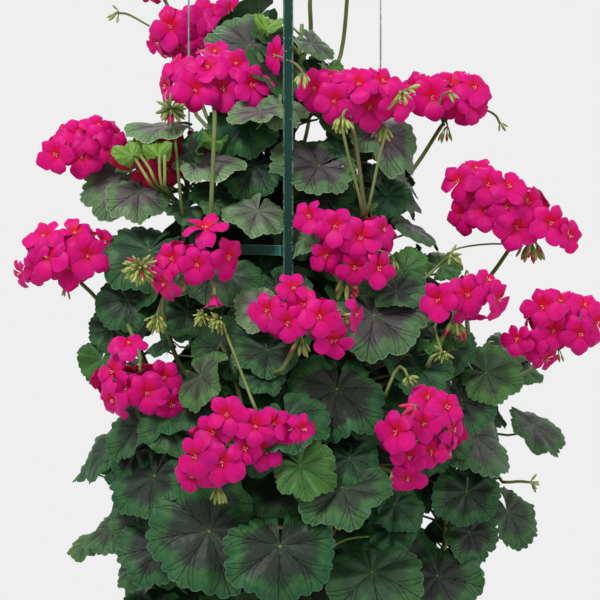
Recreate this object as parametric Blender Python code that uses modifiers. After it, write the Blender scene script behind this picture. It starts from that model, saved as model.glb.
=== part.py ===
"""Geranium in a hanging basket: pot, soil, three-point hanger, stems, leafy shoots and flower heads.

Metres, +Z up. The origin is the point where the hook bears on whatever it hangs from, and the
front of the basket, with the square post, faces -Y. Every object is one closed solid.
"""
import math

import bmesh
import bpy
import numpy as np
from mathutils import Matrix, Vector
from mathutils.bvhtree import BVHTree

# ---- driving dimensions, in metres ----
GAP = 0.0003                   # what touching pieces keep between them
SEAT_GAP = 0.0005              # the same, where a stalk meets a tapering stem
UP = Vector((0.0, 0.0, 1.0))

RIM_TOP = -0.630               # height of the pot's rim
POT_HEIGHT = 0.185
RIM_RADIUS = 0.148             # outer edge of the flange
MOUTH_RADIUS = 0.1255          # inner wall at the rim
FLOOR_RADIUS = 0.095           # inner wall at the floor
WALL = 0.0028
LIP_DEPTH = 0.012
SOIL_TOP = RIM_TOP - 0.015
DRAIN_HOLE_RADIUS = 0.006
DRAIN_HOLE_CIRCLE = 0.060

POST_AT = (0.001, -0.140)
WIRE_AT = {"left": (-0.103, 0.085), "right": (0.096, 0.100)}
POST_SIDE = 0.0095
WIRE_RADIUS = 0.001
BALL_RADIUS = 0.003
WIRE_HOLE = 0.0015
SCREW_RADIUS = 0.0022
SCREW_HEAD = 0.0044
SCREW_HOLE = 0.0026
SCREW_REACH = 0.014

ARM_TOP = -0.048               # top face of the spreader
ARM_THICK = 0.004
ARM_WIDTH = 0.014
HUB_RADIUS = 0.020
HUB_THICK = 0.006
BRACE_TOP = -0.434
BRACE_HEIGHT = 0.0095
BRACE_WIDTH = 0.006

HOOK_WIRE = 0.0025
HOOK_INNER = 0.014             # inner radius of the hook's bend

STEM_SIDES = 2                 # bevel resolution of a stem: 8 sides
PETIOLE = 0.0014               # half thickness of a leaf stalk
BLADE = 0.0008                 # half thickness of a leaf
BLADE_STEP = 0.006             # spacing of the points that test a leaf's room
PEDUNCLE = 0.0019              # radius of a flower stalk
HEAD_SIDES = 10

SEAT_SPACING = 0.011           # between two side shoots or stalks on a stem

GOLDEN = math.pi * (3.0 - math.sqrt(5.0))

# Outer surface of the foliage: height, then its reach to the left, right, front and back.
CANOPY = np.array((
    (-0.150, 0.045, 0.040, 0.040, 0.045),
    (-0.200, 0.085, 0.065, 0.075, 0.085),
    (-0.250, 0.120, 0.100, 0.105, 0.110),
    (-0.320, 0.175, 0.125, 0.122, 0.140),
    (-0.420, 0.195, 0.150, 0.128, 0.165),
    (-0.500, 0.195, 0.200, 0.185, 0.195),
    (-0.580, 0.205, 0.230, 0.220, 0.215),
    (-0.660, 0.210, 0.240, 0.232, 0.222),
    (-0.740, 0.220, 0.235, 0.232, 0.220),
    (-0.800, 0.195, 0.200, 0.205, 0.195),
    (-0.860, 0.130, 0.130, 0.135, 0.130),
))

# Main stems: the points they pass through, from the soil up, and their radius at foot and tip.
STEMS = {
    "stem_centre": (((0.005, 0.012, -0.520), (0.000, 0.022, -0.430), (0.004, 0.016, -0.330),
                     (0.014, 0.005, -0.215)), (0.008, 0.010), 0.0052, 0.0034),
    "stem_left": (((-0.078, 0.000, -0.550), (-0.102, -0.010, -0.450), (-0.098, -0.018, -0.350)),
                  (-0.045, 0.000), 0.0050, 0.0032),
    "stem_right": (((0.082, -0.006, -0.550), (0.096, -0.010, -0.450), (0.092, -0.012, -0.345)),
                   (0.050, 0.000), 0.0050, 0.0032),
    "stem_far_left": (((-0.125, -0.030, -0.585), (-0.158, -0.034, -0.510)),
                      (-0.078, -0.022), 0.0046, 0.0034),
    "stem_far_right": (((0.130, -0.024, -0.595), (0.178, -0.030, -0.525)),
                       (0.080, -0.022), 0.0046, 0.0034),
    "stem_front_left": (((-0.055, -0.112, -0.600), (-0.070, -0.150, -0.540)),
                        (-0.038, -0.066), 0.0044, 0.0034),
    "stem_front_right": (((0.060, -0.112, -0.600), (0.078, -0.148, -0.535)),
                         (0.040, -0.066), 0.0044, 0.0034),
    "stem_back": (((0.000, 0.105, -0.570), (-0.006, 0.128, -0.470), (0.000, 0.118, -0.370)),
                  (0.002, 0.068), 0.0050, 0.0032),
}

# Flower heads: centre, radius, how much wider than deep, and the stem that carries the stalk.
HEADS = {
    "flower_head_top_front": ((0.035, -0.045, -0.135), 0.044, 1.0, "stem_centre"),
    "flower_head_top_right": ((0.075, 0.050, -0.118), 0.045, 1.0, "stem_centre"),
    "flower_head_crown_back_left": ((-0.098, 0.145, -0.245), 0.050, 1.0, "stem_back"),
    "flower_head_crown_left": ((-0.072, -0.060, -0.300), 0.056, 1.0, "stem_left"),
    "flower_head_crown_right": ((0.062, -0.080, -0.314), 0.052, 1.0, "stem_right"),
    "flower_head_upper_left": ((-0.194, -0.020, -0.363), 0.047, 1.0, "stem_left"),
    "flower_head_upper_right": ((0.157, 0.000, -0.316), 0.046, 1.0, "stem_right"),
    "flower_head_middle_left": ((-0.211, -0.070, -0.460), 0.052, 1.0, "stem_far_left"),
    "flower_head_middle_right": ((0.216, -0.040, -0.418), 0.052, 1.35, "stem_far_right"),
    "flower_head_front_left": ((-0.084, -0.190, -0.454), 0.046, 1.0, "stem_front_left"),
    "flower_head_front_centre": ((0.017, -0.235, -0.504), 0.052, 1.0, "stem_front_right"),
    "flower_head_front_right": ((0.056, -0.150, -0.436), 0.046, 1.0, "stem_front_right"),
    "flower_head_lower_right": ((0.165, -0.140, -0.493), 0.044, 1.0, "stem_front_right"),
    "flower_head_far_right": ((0.262, -0.050, -0.532), 0.048, 1.0, "stem_far_right"),
    "flower_head_low_left": ((-0.139, -0.150, -0.565), 0.046, 1.0, "stem_front_left"),
    "flower_head_low_centre": ((-0.045, -0.235, -0.610), 0.050, 1.40, "stem_front_left"),
    "flower_head_low_right": ((0.120, -0.205, -0.611), 0.048, 1.0, "stem_front_right"),
    "flower_head_back_high": ((0.025, 0.140, -0.285), 0.047, 1.0, "stem_back"),
    "flower_head_back_left": ((-0.150, 0.165, -0.415), 0.048, 1.0, "stem_back"),
    "flower_head_back_right": ((0.150, 0.175, -0.435), 0.048, 1.0, "stem_back"),
    "flower_head_back_low": ((-0.010, 0.235, -0.560), 0.050, 1.0, "stem_back"),
}

# Leafy side shoots: the stem that carries each, azimuth and height of its leaves, leaf count.
SHOOTS = {
    "leafy_shoot_crown_front": ("stem_centre", 265.0, -0.235, 9),
    "leafy_shoot_crown_back": ("stem_centre", 95.0, -0.235, 9),
    "leafy_shoot_upper_left": ("stem_left", 175.0, -0.350, 8),
    "leafy_shoot_upper_right": ("stem_right", 10.0, -0.370, 8),
    "leafy_shoot_upper_front_left": ("stem_left", 230.0, -0.390, 8),
    "leafy_shoot_upper_front_right": ("stem_right", 305.0, -0.400, 8),
    "leafy_shoot_back": ("stem_back", 78.0, -0.480, 9),
    "leafy_shoot_middle_left": ("stem_far_left", 185.0, -0.520, 8),
    "leafy_shoot_middle_right": ("stem_far_right", 355.0, -0.530, 8),
    "leafy_shoot_front_left": ("stem_front_left", 250.0, -0.540, 8),
    "leafy_shoot_front_right": ("stem_front_right", 292.0, -0.540, 8),
}

# Shoots that arch over the rim: the azimuth of each and its leaf count.
TRAILERS = {
    "trailing_shoot_front": (283.0, 11),
    "trailing_shoot_front_right": (330.0, 10),
    "trailing_shoot_front_left": (220.0, 10),
    "trailing_shoot_back_right": (28.0, 10),
    "trailing_shoot_back": (106.0, 10),
    "trailing_shoot_back_left": (160.0, 9),
}
# Radius and height that a trailing stem passes through above the soil.
TRAILER_PATH = ((0.108, -0.618), (0.130, -0.604), (0.156, -0.612), (0.171, -0.650), (0.176, -0.700), (0.172, -0.748))


# ---- scene and materials ----
def clear_scene():
    for item in list(bpy.data.objects):
        bpy.data.objects.remove(item, do_unlink=True)


def new_collection(name):
    collection = bpy.data.collections.new(name)
    bpy.context.scene.collection.children.link(collection)
    return collection


def make_material(name, colour, roughness, metallic=0.0):
    material = bpy.data.materials.new(name)
    material.use_nodes = True
    shader = material.node_tree.nodes["Principled BSDF"]
    shader.inputs["Base Color"].default_value = (*colour, 1.0)
    shader.inputs["Roughness"].default_value = roughness
    shader.inputs["Metallic"].default_value = metallic
    return material


clear_scene()
PARTS = new_collection("geranium_hanging_basket")
CUTTERS = new_collection("cutters")
GREEN_STEEL = make_material("green_painted_steel", (0.012, 0.060, 0.045), 0.45)
GALVANISED = make_material("galvanised_steel", (0.55, 0.56, 0.57), 0.35, 1.0)
POT_PLASTIC = make_material("pot_plastic", (0.020, 0.055, 0.040), 0.50)
SOIL_MATERIAL = make_material("potting_soil", (0.045, 0.028, 0.018), 0.95)
STEM_GREEN = make_material("stem_green", (0.230, 0.300, 0.060), 0.60)
LEAF_GREEN = make_material("leaf_green", (0.035, 0.130, 0.040), 0.55)
PETAL_MAGENTA = make_material("petal_magenta", (0.640, 0.012, 0.170), 0.50)


def add_object(name, mesh, material, collection=None):
    piece = bpy.data.objects.new(name, mesh)
    (collection or PARTS).objects.link(piece)
    if material:
        mesh.materials.append(material)
    return piece


def mesh_from_bmesh(name, bm, smooth_angle=None):
    bm.normal_update()
    mesh = bpy.data.meshes.new(name)
    bm.to_mesh(mesh)
    bm.free()
    if smooth_angle:
        mesh.shade_smooth()
        mesh.set_sharp_from_angle(angle=smooth_angle)
    return mesh


# ---- made pieces: bars, screws, wires, hook ----
def box_piece(name, size, centre, turn=0.0, material=GREEN_STEEL):
    """A block of the given size, turned about the vertical through its centre."""
    bm = bmesh.new()
    bmesh.ops.create_cube(bm, size=1.0)
    bmesh.ops.scale(bm, vec=size, verts=bm.verts)
    piece = add_object(name, mesh_from_bmesh(name, bm), material)
    piece.location = centre
    piece.rotation_euler = (0.0, 0.0, turn)
    return piece


def soften_edges(piece, width):
    bevel = piece.modifiers.new("soft_edges", "BEVEL")
    bevel.width = width
    bevel.segments = 1
    bevel.limit_method = "ANGLE"
    return piece


def drill(piece, place, radius, low, high):
    """Cut an upright round hole through the piece at (x, y), between two heights."""
    bm = bmesh.new()
    bmesh.ops.create_cone(bm, cap_ends=True, segments=12, radius1=radius, radius2=radius, depth=high - low)
    cutter = add_object(piece.name + "_drill", mesh_from_bmesh(piece.name + "_drill", bm), None, CUTTERS)
    cutter.location = (place[0], place[1], (low + high) / 2.0)
    cutter.hide_render = True
    cutter.display_type = "WIRE"
    cut = piece.modifiers.new("hole", "BOOLEAN")
    cut.operation = "DIFFERENCE"
    cut.solver = "EXACT"
    cut.object = cutter


def turned(name, profile, steps, material, place=(0.0, 0.0, 0.0)):
    """A profile of (radius, height) points turned about the vertical through the place."""
    mesh = bpy.data.meshes.new(name)
    points = [(radius, 0.0, height) for radius, height in profile]
    mesh.from_pydata(points, [(i, i + 1) for i in range(len(points) - 1)], [])
    piece = add_object(name, mesh, material)
    piece.location = place
    turn = piece.modifiers.new("turn", "SCREW")
    turn.steps = steps
    turn.render_steps = steps
    turn.use_merge_vertices = True
    turn.merge_threshold = 0.00001
    turn.use_smooth_shade = False
    return piece


def tube(name, points, radii, material, sides=STEM_SIDES):
    """A round bar along the points, with its radius at each, and flat ends."""
    thickest = max(radii)
    curve = bpy.data.curves.new(name, "CURVE")
    curve.dimensions = "3D"
    curve.bevel_depth = thickest
    curve.bevel_resolution = sides
    curve.use_fill_caps = True
    spline = curve.splines.new("POLY")
    spline.points.add(len(points) - 1)
    for slot, point, radius in zip(spline.points, points, radii):
        slot.co = (*point, 1.0)
        slot.radius = radius / thickest
    curve.materials.append(material)
    piece = bpy.data.objects.new(name, curve)
    PARTS.objects.link(piece)
    return piece


def screw(name, place, head_face, direction):
    """A round-headed screw: direction +1 points its shank up from head_face, -1 down."""
    head = 0.0030
    profile = [(0.0, head_face + direction * SCREW_REACH), (SCREW_RADIUS, head_face + direction * SCREW_REACH),
               (SCREW_RADIUS, head_face), (SCREW_HEAD, head_face),
               (SCREW_HEAD * 0.8, head_face - direction * head), (0.0, head_face - direction * head)]
    if direction < 0:
        profile.reverse()
    return turned(name, profile, 12, GALVANISED, (*place, 0.0))


def hanger_wire(side):
    """A straight wire with a ball end above the spreader arm and one below the pot's rim."""
    top = ARM_TOP + GAP + BALL_RADIUS
    bottom = RIM_TOP - WALL - GAP - BALL_RADIUS

    def ball(middle):
        angles = [math.radians(a) for a in (90, 45, 0, -45, -90)]
        return [(BALL_RADIUS * math.cos(a), middle + BALL_RADIUS * math.sin(a)) for a in angles]

    reach = math.sqrt(BALL_RADIUS ** 2 - WIRE_RADIUS ** 2)
    upper = ball(top)[:-1] + [(WIRE_RADIUS, top - reach)]
    lower = [(WIRE_RADIUS, bottom + reach)] + ball(bottom)[1:]
    upper[0] = (0.0, upper[0][1])
    lower[-1] = (0.0, lower[-1][1])
    return turned("wire_" + side, upper + lower, 8, GALVANISED, (*WIRE_AT[side], 0.0))


def spreader_arm(name, place, beyond, hole):
    """A flat bar from the hub out past the place that hangs from it."""
    x, y = place
    reach = math.hypot(x, y)
    turn = math.atan2(y, x)
    start = HUB_RADIUS + GAP
    length = reach + beyond - start
    middle = start + length / 2.0
    centre = (middle * math.cos(turn), middle * math.sin(turn), ARM_TOP - ARM_THICK / 2.0)
    arm = box_piece(name, (length, ARM_WIDTH, ARM_THICK), centre, turn)
    drill(arm, place, hole, ARM_TOP - 2 * ARM_THICK, ARM_TOP + ARM_THICK)


def brace(side):
    """A flat bar from the back of the post to a wire, which passes through its end."""
    out = -1.0 if side == "left" else 1.0
    wire = Vector((*WIRE_AT[side], 0.0))
    start = Vector((POST_AT[0] + out * 0.0041, POST_AT[1] + POST_SIDE / 2.0, 0.0))
    along = (wire - start).normalized()
    start += along * (GAP + 0.5 * BRACE_WIDTH * abs(along.x) / along.y + GAP)
    end = wire + along * 0.005
    centre = (start + end) / 2.0
    centre.z = BRACE_TOP - BRACE_HEIGHT / 2.0
    turn = math.atan2(along.y, along.x)
    bar = box_piece("brace_" + side, ((end - start).length, BRACE_WIDTH, BRACE_HEIGHT), centre, turn)
    drill(bar, WIRE_AT[side], WIRE_HOLE, BRACE_TOP - 2 * BRACE_HEIGHT, BRACE_TOP + BRACE_HEIGHT)


def hook_points():
    """The hook's centre line: round over the bearing point, then a swan neck down to the hub."""
    bend = HOOK_INNER + HOOK_WIRE
    centre_z = -HOOK_INNER
    angles = np.radians(np.linspace(200.0, -20.0, 14))
    points = [(bend * math.cos(a), 0.0, centre_z + bend * math.sin(a)) for a in angles]
    foot = ARM_TOP + HUB_THICK - ARM_THICK + GAP
    points += [(0.0120, 0.0, centre_z - 0.0135), (0.0045, 0.0, centre_z - 0.0205), (0.0, 0.0, foot + 0.006), (0.0, 0.0, foot)]
    return points


def build_holder():
    points = hook_points()
    tube("hook", points, [HOOK_WIRE] * len(points), GALVANISED)
    hub_top = ARM_TOP + HUB_THICK - ARM_THICK
    turned("spreader_hub", [(0.0, hub_top), (HUB_RADIUS, hub_top), (HUB_RADIUS, hub_top - HUB_THICK),
                            (0.0, hub_top - HUB_THICK)], 32, GREEN_STEEL)
    spreader_arm("spreader_arm_front", POST_AT, 0.009, SCREW_HOLE)
    spreader_arm("spreader_arm_left", WIRE_AT["left"], 0.007, WIRE_HOLE)
    spreader_arm("spreader_arm_right", WIRE_AT["right"], 0.007, WIRE_HOLE)
    top = ARM_TOP - ARM_THICK - GAP
    bottom = RIM_TOP + GAP
    centre = (*POST_AT, (top + bottom) / 2.0)
    post = box_piece("post", (POST_SIDE, POST_SIDE, top - bottom), centre)
    soften_edges(post, 0.0008)
    deep = SCREW_REACH + 0.002
    drill(post, POST_AT, SCREW_HOLE, top - deep, top + deep)
    drill(post, POST_AT, SCREW_HOLE, bottom - deep, bottom + deep)
    screw("post_screw_upper", POST_AT, ARM_TOP + GAP, -1.0)
    screw("post_screw_lower", POST_AT, RIM_TOP - WALL - GAP, 1.0)
    for side in ("left", "right"):
        brace(side)
        hanger_wire(side)


def build_pot():
    floor = RIM_TOP - POT_HEIGHT
    outer_at_rim = MOUTH_RADIUS + WALL
    lip_inner = RIM_RADIUS - WALL
    profile = [(0.0, floor + WALL), (FLOOR_RADIUS, floor + WALL), (MOUTH_RADIUS, RIM_TOP), (RIM_RADIUS, RIM_TOP),
               (RIM_RADIUS, RIM_TOP - LIP_DEPTH), (lip_inner, RIM_TOP - LIP_DEPTH), (lip_inner, RIM_TOP - WALL),
               (outer_at_rim, RIM_TOP - WALL), (FLOOR_RADIUS + WALL, floor), (0.0, floor)]
    pot = turned("pot", profile, 36, POT_PLASTIC)
    for k in range(6):
        angle = k * math.pi / 3.0
        place = (DRAIN_HOLE_CIRCLE * math.cos(angle), DRAIN_HOLE_CIRCLE * math.sin(angle))
        drill(pot, place, DRAIN_HOLE_RADIUS, floor - WALL, floor + 2 * WALL)
    drill(pot, POST_AT, SCREW_HOLE, RIM_TOP - 2 * WALL, RIM_TOP + WALL)
    for side in ("left", "right"):
        drill(pot, WIRE_AT[side], WIRE_HOLE, RIM_TOP - 2 * WALL, RIM_TOP + WALL)
    slope = (MOUTH_RADIUS - FLOOR_RADIUS) / (POT_HEIGHT - WALL)
    soil_radius = FLOOR_RADIUS + slope * (SOIL_TOP - floor - WALL)
    turned("soil", [(0.0, SOIL_TOP), (soil_radius - 2 * GAP, SOIL_TOP), (FLOOR_RADIUS - 2 * GAP, floor + WALL + GAP),
                    (0.0, floor + WALL + GAP)], 40, SOIL_MATERIAL)


# ---- room: what the growing pieces keep clear of ----
class Room:
    """Balls strung along everything placed so far, with the flower heads as ellipsoids."""

    def __init__(self):
        self.balls = np.zeros((0, 5))
        self.owners = ["nobody"]
        self.heads = []
        self.seats = []

    def owner_number(self, owner):
        if owner not in self.owners:
            self.owners.append(owner)
        return self.owners.index(owner)

    def add(self, points, radius, owner="nobody"):
        points = np.asarray(points, float)
        count = len(points)
        column = np.full(count, self.owner_number(owner))
        self.balls = np.vstack((self.balls, np.c_[points, np.full(count, radius), column]))

    def seat_is_free(self, seat):
        return all((Vector(seat) - other).length > SEAT_SPACING for other in self.seats)

    def add_head(self, centre, size):
        self.heads.append((np.array(centre), np.array(size)))

    def is_clear(self, points, radius, skip_head=None, skip_owner=None):
        points = np.asarray(points, float)
        low = points.min(0) - 0.03
        high = points.max(0) + 0.03
        near = self.balls[np.all((self.balls[:, :3] > low) & (self.balls[:, :3] < high), axis=1)]
        if skip_owner:
            near = near[near[:, 4] != self.owner_number(skip_owner)]
        if len(near):
            away = np.linalg.norm(points[:, None, :] - near[None, :, :3], axis=2)
            if (away < radius + near[None, :, 3]).any():
                return False
        for centre, size in self.heads:
            if skip_head is not None and np.allclose(centre, skip_head):
                continue
            if (np.linalg.norm((points - centre) / (size + radius), axis=1) < 1.0).any():
                return False
        outward = np.hypot(points[:, 0], points[:, 1])
        in_pot = (outward < RIM_RADIUS + radius + 0.001) & (points[:, 2] < RIM_TOP + radius + 0.001)
        return not in_pot.any()


ROOM = Room()


def along_line(start, end, step=0.004):
    start = np.array(start, float)
    end = np.array(end, float)
    count = max(2, int(np.linalg.norm(end - start) / step) + 1)
    return start + (end - start) * np.linspace(0.0, 1.0, count)[:, None]


def along_path(points, step=0.004):
    return np.vstack([along_line(a, b, step) for a, b in zip(points[:-1], points[1:])])


def reserve_holder():
    """Keep the growing pieces off the hanger."""
    ROOM.add(along_line((*POST_AT, ARM_TOP), (*POST_AT, RIM_TOP)), POST_SIDE * 0.72)
    for place in WIRE_AT.values():
        ROOM.add(along_line((*place, ARM_TOP), (*place, RIM_TOP)), 0.0025)
        ROOM.add(along_line((*POST_AT, BRACE_TOP - BRACE_HEIGHT / 2), (*place, BRACE_TOP - BRACE_HEIGHT / 2)), 0.0062)
    for place in (POST_AT, *WIRE_AT.values()):
        ROOM.add(along_line((0.0, 0.0, ARM_TOP), (*place, ARM_TOP)), 0.010)


# ---- growth: stems, flower heads, leafy shoots ----
def canopy_reach(azimuth, height):
    """Distance from the pot's axis to the outside of the foliage."""
    reach = [np.interp(-height, -CANOPY[:, 0], CANOPY[:, column]) for column in range(1, 5)]
    left, right, front, back = reach
    across = right if math.cos(azimuth) > 0 else left
    depth = back if math.sin(azimuth) > 0 else front
    return across * math.cos(azimuth) ** 2 + depth * math.sin(azimuth) ** 2


def smooth_path(points, count):
    """Points evenly spaced on a Catmull-Rom curve through the given points."""
    knots = [np.array(p, float) for p in points]
    knots = [2 * knots[0] - knots[1]] + knots + [2 * knots[-1] - knots[-2]]
    fine = []
    for a, b, c, d in zip(knots[:-3], knots[1:-2], knots[2:-1], knots[3:]):
        for t in np.linspace(0.0, 1.0, 12, endpoint=False):
            fine.append(0.5 * (2 * b + (c - a) * t + (2 * a - 5 * b + 4 * c - d) * t ** 2
                               + (3 * b - a - 3 * c + d) * t ** 3))
    fine = np.array(fine + [knots[-2]])
    length = np.r_[0.0, np.cumsum(np.linalg.norm(np.diff(fine, axis=0), axis=1))]
    marks = np.linspace(0.0, length[-1], count)
    return np.stack([np.interp(marks, length, fine[:, k]) for k in range(3)], axis=1)


STEM_PATHS = {}


def build_stems():
    for name, (points, foot, thick, thin) in STEMS.items():
        base = (foot[0], foot[1], SOIL_TOP + GAP)
        first = (foot[0], foot[1], SOIL_TOP + 0.010)
        path = np.vstack((base, smooth_path((first, *points), 8)))
        radii = np.linspace(thick, thin, len(path))
        tube(name, path, radii, STEM_GREEN)
        STEM_PATHS[name] = (path, radii)
        ROOM.add(along_path(path), thick + 0.001, name)


def seat_on_stem(stem, share, target):
    """Where a side shoot springs from a stem: a point on its skin and the way out towards the target."""
    path, radii = STEM_PATHS[stem]
    length = np.r_[0.0, np.cumsum(np.linalg.norm(np.diff(path, axis=0), axis=1))]
    mark = share * length[-1]
    k = min(int(np.searchsorted(length, mark)), len(path) - 1)
    part = (mark - length[k - 1]) / (length[k] - length[k - 1])
    point = Vector(path[k - 1] + part * (path[k] - path[k - 1]))
    radius = radii[k - 1] + part * (radii[k] - radii[k - 1])
    tangent = Vector(path[k] - path[k - 1]).normalized()
    out = Vector(target) - point
    out = (out - tangent * out.dot(tangent)).normalized()
    return point + out * (radius + SEAT_GAP), out


def bezier(a, b, c, d, count):
    t = np.linspace(0.0, 1.0, count)[:, None]
    a, b, c, d = (np.array(p, float) for p in (a, b, c, d))
    return (1 - t) ** 3 * a + 3 * (1 - t) ** 2 * t * b + 3 * (1 - t) * t ** 2 * c + t ** 3 * d


def join_rings(bm, rings, close_start=True):
    """Skin a list of rings of vertices, each listed anticlockwise seen from the far end."""
    if close_start:
        bm.faces.new(list(reversed(rings[0])))
    for low, high in zip(rings[:-1], rings[1:]):
        count = len(low)
        for i in range(count):
            bm.faces.new((low[i], low[(i + 1) % count], high[(i + 1) % count], high[i]))
    bm.faces.new(rings[-1])


# Outline of a flower head from its neck to its top: radius and height, in head radii.
HEAD_PROFILE = ((0.20, -0.56), (0.66, -0.42), (0.97, -0.12), (0.99, 0.16), (0.82, 0.48), (0.46, 0.72), (0.10, 0.80))


def head_axis(centre):
    """A flower head looks up and out from the middle of the plant."""
    return Vector((centre[0] * 1.2, centre[1] * 1.2, 0.22)).normalized()


def head_ring(bm, centre, axis, across, radius, wide, scallop):
    """One ring of a flower head, its radius drawn in between the florets."""
    side = axis.cross(across)
    ring = []
    for i in range(HEAD_SIDES):
        angle = 2.0 * math.pi * i / HEAD_SIDES
        reach = radius * (1.0 - scallop * (i % 2))
        ring.append(bm.verts.new(centre + across * (reach * wide * math.cos(angle)) + side * (reach * math.sin(angle))))
    return ring


def stalk_route(stem, share, neck, axis):
    """The flower stalk: straight out of the stem, then bending up into the head."""
    base, out = seat_on_stem(stem, share, neck)
    clear = base + out * 0.007
    span = (Vector(neck) - clear).length
    curve = bezier(clear, clear + out * span * 0.28, neck - axis * span * 0.40, neck, 4)
    return np.vstack((base, curve))


def build_head(name, centre, radius, wide, stem):
    axis = head_axis(centre)
    across = Vector((1.0, 0.0, 0.0))
    across = (across - axis * across.dot(axis)).normalized()
    centre = Vector(centre)
    neck = centre + axis * (HEAD_PROFILE[0][1] * radius - 0.008)
    route = None
    for share in (0.97, 0.88, 0.80, 0.72, 0.64, 0.56, 0.48, 0.92, 0.76, 0.60, 0.40, 0.34):
        trial = stalk_route(stem, share, neck, axis)
        if not ROOM.seat_is_free(trial[0]):
            continue
        line = along_path(trial)
        if not ROOM.is_clear(line[3:], PEDUNCLE + 0.0022, skip_head=centre):
            continue
        if ROOM.is_clear(line, PEDUNCLE + 0.0022, skip_head=centre, skip_owner=stem):
            route = trial
            break
    if route is None:
        raise RuntimeError("no clear way for the stalk of " + name)
    ROOM.add(along_path(route), PEDUNCLE + 0.001)
    ROOM.seats.append(Vector(route[0]))
    bm = bmesh.new()
    rings = []
    frame = across.copy()
    stations = [Vector(p) for p in route]
    carried = []
    for k in reversed(range(len(stations))):
        if k == len(stations) - 1:
            tangent = axis
        elif k == 0:
            tangent = (stations[1] - stations[0]).normalized()
        else:
            tangent = (stations[k + 1] - stations[k - 1]).normalized()
        frame = (frame - tangent * frame.dot(tangent)).normalized()
        carried.append((stations[k], tangent, frame.copy()))
    for place, tangent, turned_frame in reversed(carried):
        rings.append(head_ring(bm, place, tangent, turned_frame, PEDUNCLE, 1.0, 0.0))
    for k, (reach, height) in enumerate(HEAD_PROFILE):
        place = centre + axis * (height * radius)
        scallop = 0.15 if 0 < k < len(HEAD_PROFILE) - 1 else 0.0
        rings.append(head_ring(bm, place, axis, across, reach * radius, wide, scallop))
    join_rings(bm, rings)
    add_object(name, mesh_from_bmesh(name, bm, math.radians(40.0)), PETAL_MAGENTA)


def reserve_heads():
    for centre, radius, wide, _ in HEADS.values():
        ROOM.add_head(centre, (radius * wide + 0.002, radius + 0.002, radius + 0.002))


# Outline of a leaf from its stalk to its tip: distance and half width, in leaf radii.
LEAF_PROFILE = ((0.16, 0.50), (0.55, 0.93), (1.00, 1.00), (1.45, 0.80), (1.80, 0.36))


def square_ring(bm, centre, across, normal, half_across, half_normal):
    corners = ((1, 1), (-1, 1), (-1, -1), (1, -1))
    return [bm.verts.new(centre + across * (half_across * a) + normal * (half_normal * b)) for a, b in corners]


def line_up(ring, onto):
    """Turn the order of a ring so that each vertex joins the nearest one of the other ring."""
    costs = [sum((ring[(i + k) % 4].co - onto[i].co).length for i in range(4)) for k in range(4)]
    best = costs.index(min(costs))
    return [ring[(i + best) % 4] for i in range(4)]


class Leaf:
    """A leaf's place: the end of its stalk, the run of its midrib and its upper side."""

    def __init__(self, azimuth, height, inset, radius, swing):
        steep = np.interp(-height, (0.15, 0.35, 0.60, 0.80), (0.95, 0.60, 0.42, 0.25))
        radial = Vector((math.cos(azimuth), math.sin(azimuth), 0.0))
        reach = canopy_reach(azimuth, height) - inset
        self.normal = (radial * math.cos(steep) + UP * math.sin(steep)).normalized()
        run = (radial * math.sin(steep) - UP * math.cos(steep)).normalized()
        self.run = (Matrix.Rotation(swing, 3, self.normal) @ run).normalized()
        self.across = self.normal.cross(self.run)
        self.radius = radius
        centre = radial * reach + UP * height
        self.root = centre - self.run * radius * 0.9

    def samples(self):
        """Points all over the blade, in a grid."""
        points = []
        for s in np.arange(0.15, 1.83, BLADE_STEP / self.radius):
            half = np.interp(s, [p[0] for p in LEAF_PROFILE], [p[1] for p in LEAF_PROFILE]) * self.radius
            for w in np.linspace(-half, half, max(2, int(2 * half / BLADE_STEP) + 1)):
                points.append(self.root + self.run * (s * self.radius) + self.across * w)
        return np.array(points)

    def rings(self, bm):
        for s, half in LEAF_PROFILE:
            centre = self.root + self.run * (s * self.radius)
            yield square_ring(bm, centre, self.across, self.normal, half * self.radius, BLADE)


SHOOT_SIDES = 6
LEAF_TRIES = 400


def shoot_stem(bm, path, radii):
    """A six-sided stem along the path. Returns its side faces, which the leaf stalks grow from."""
    frame = Vector((0.3, -0.2, 1.0))
    rings = []
    for k in range(len(path)):
        here = Vector(path[k])
        ahead = Vector(path[min(k + 1, len(path) - 1)])
        behind = Vector(path[max(k - 1, 0)])
        tangent = (ahead - behind).normalized()
        frame = (frame - tangent * frame.dot(tangent)).normalized()
        side = tangent.cross(frame)
        ring = []
        for i in range(SHOOT_SIDES):
            angle = 2.0 * math.pi * i / SHOOT_SIDES
            ring.append(bm.verts.new(here + frame * (radii[k] * math.cos(angle)) + side * (radii[k] * math.sin(angle))))
        rings.append(ring)
    join_rings(bm, rings)
    bm.faces.ensure_lookup_table()
    return [face for face in bm.faces if len(face.verts) == 4]


def stalk_points(face, leaf):
    """The leaf stalk's stations: out of the stem's skin, then along to the blade."""
    start = face.calc_center_median()
    out = start + face.normal * 0.0045
    span = (leaf.root - out).length
    middle = out.lerp(leaf.root, 0.55) + UP * (0.10 * span) + face.normal * (0.08 * span)
    return [out, middle, leaf.root]


def crosses_itself(bm):
    """Whether two triangles that share no corner cut through each other."""
    split = bm.copy()
    bmesh.ops.triangulate(split, faces=split.faces)
    split.faces.ensure_lookup_table()
    tree = BVHTree.FromBMesh(split)
    hits = (set(split.faces[a].verts) & set(split.faces[b].verts) for a, b in tree.overlap(tree) if a < b)
    crossed = any(not shared for shared in hits)
    split.free()
    return crossed


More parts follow.
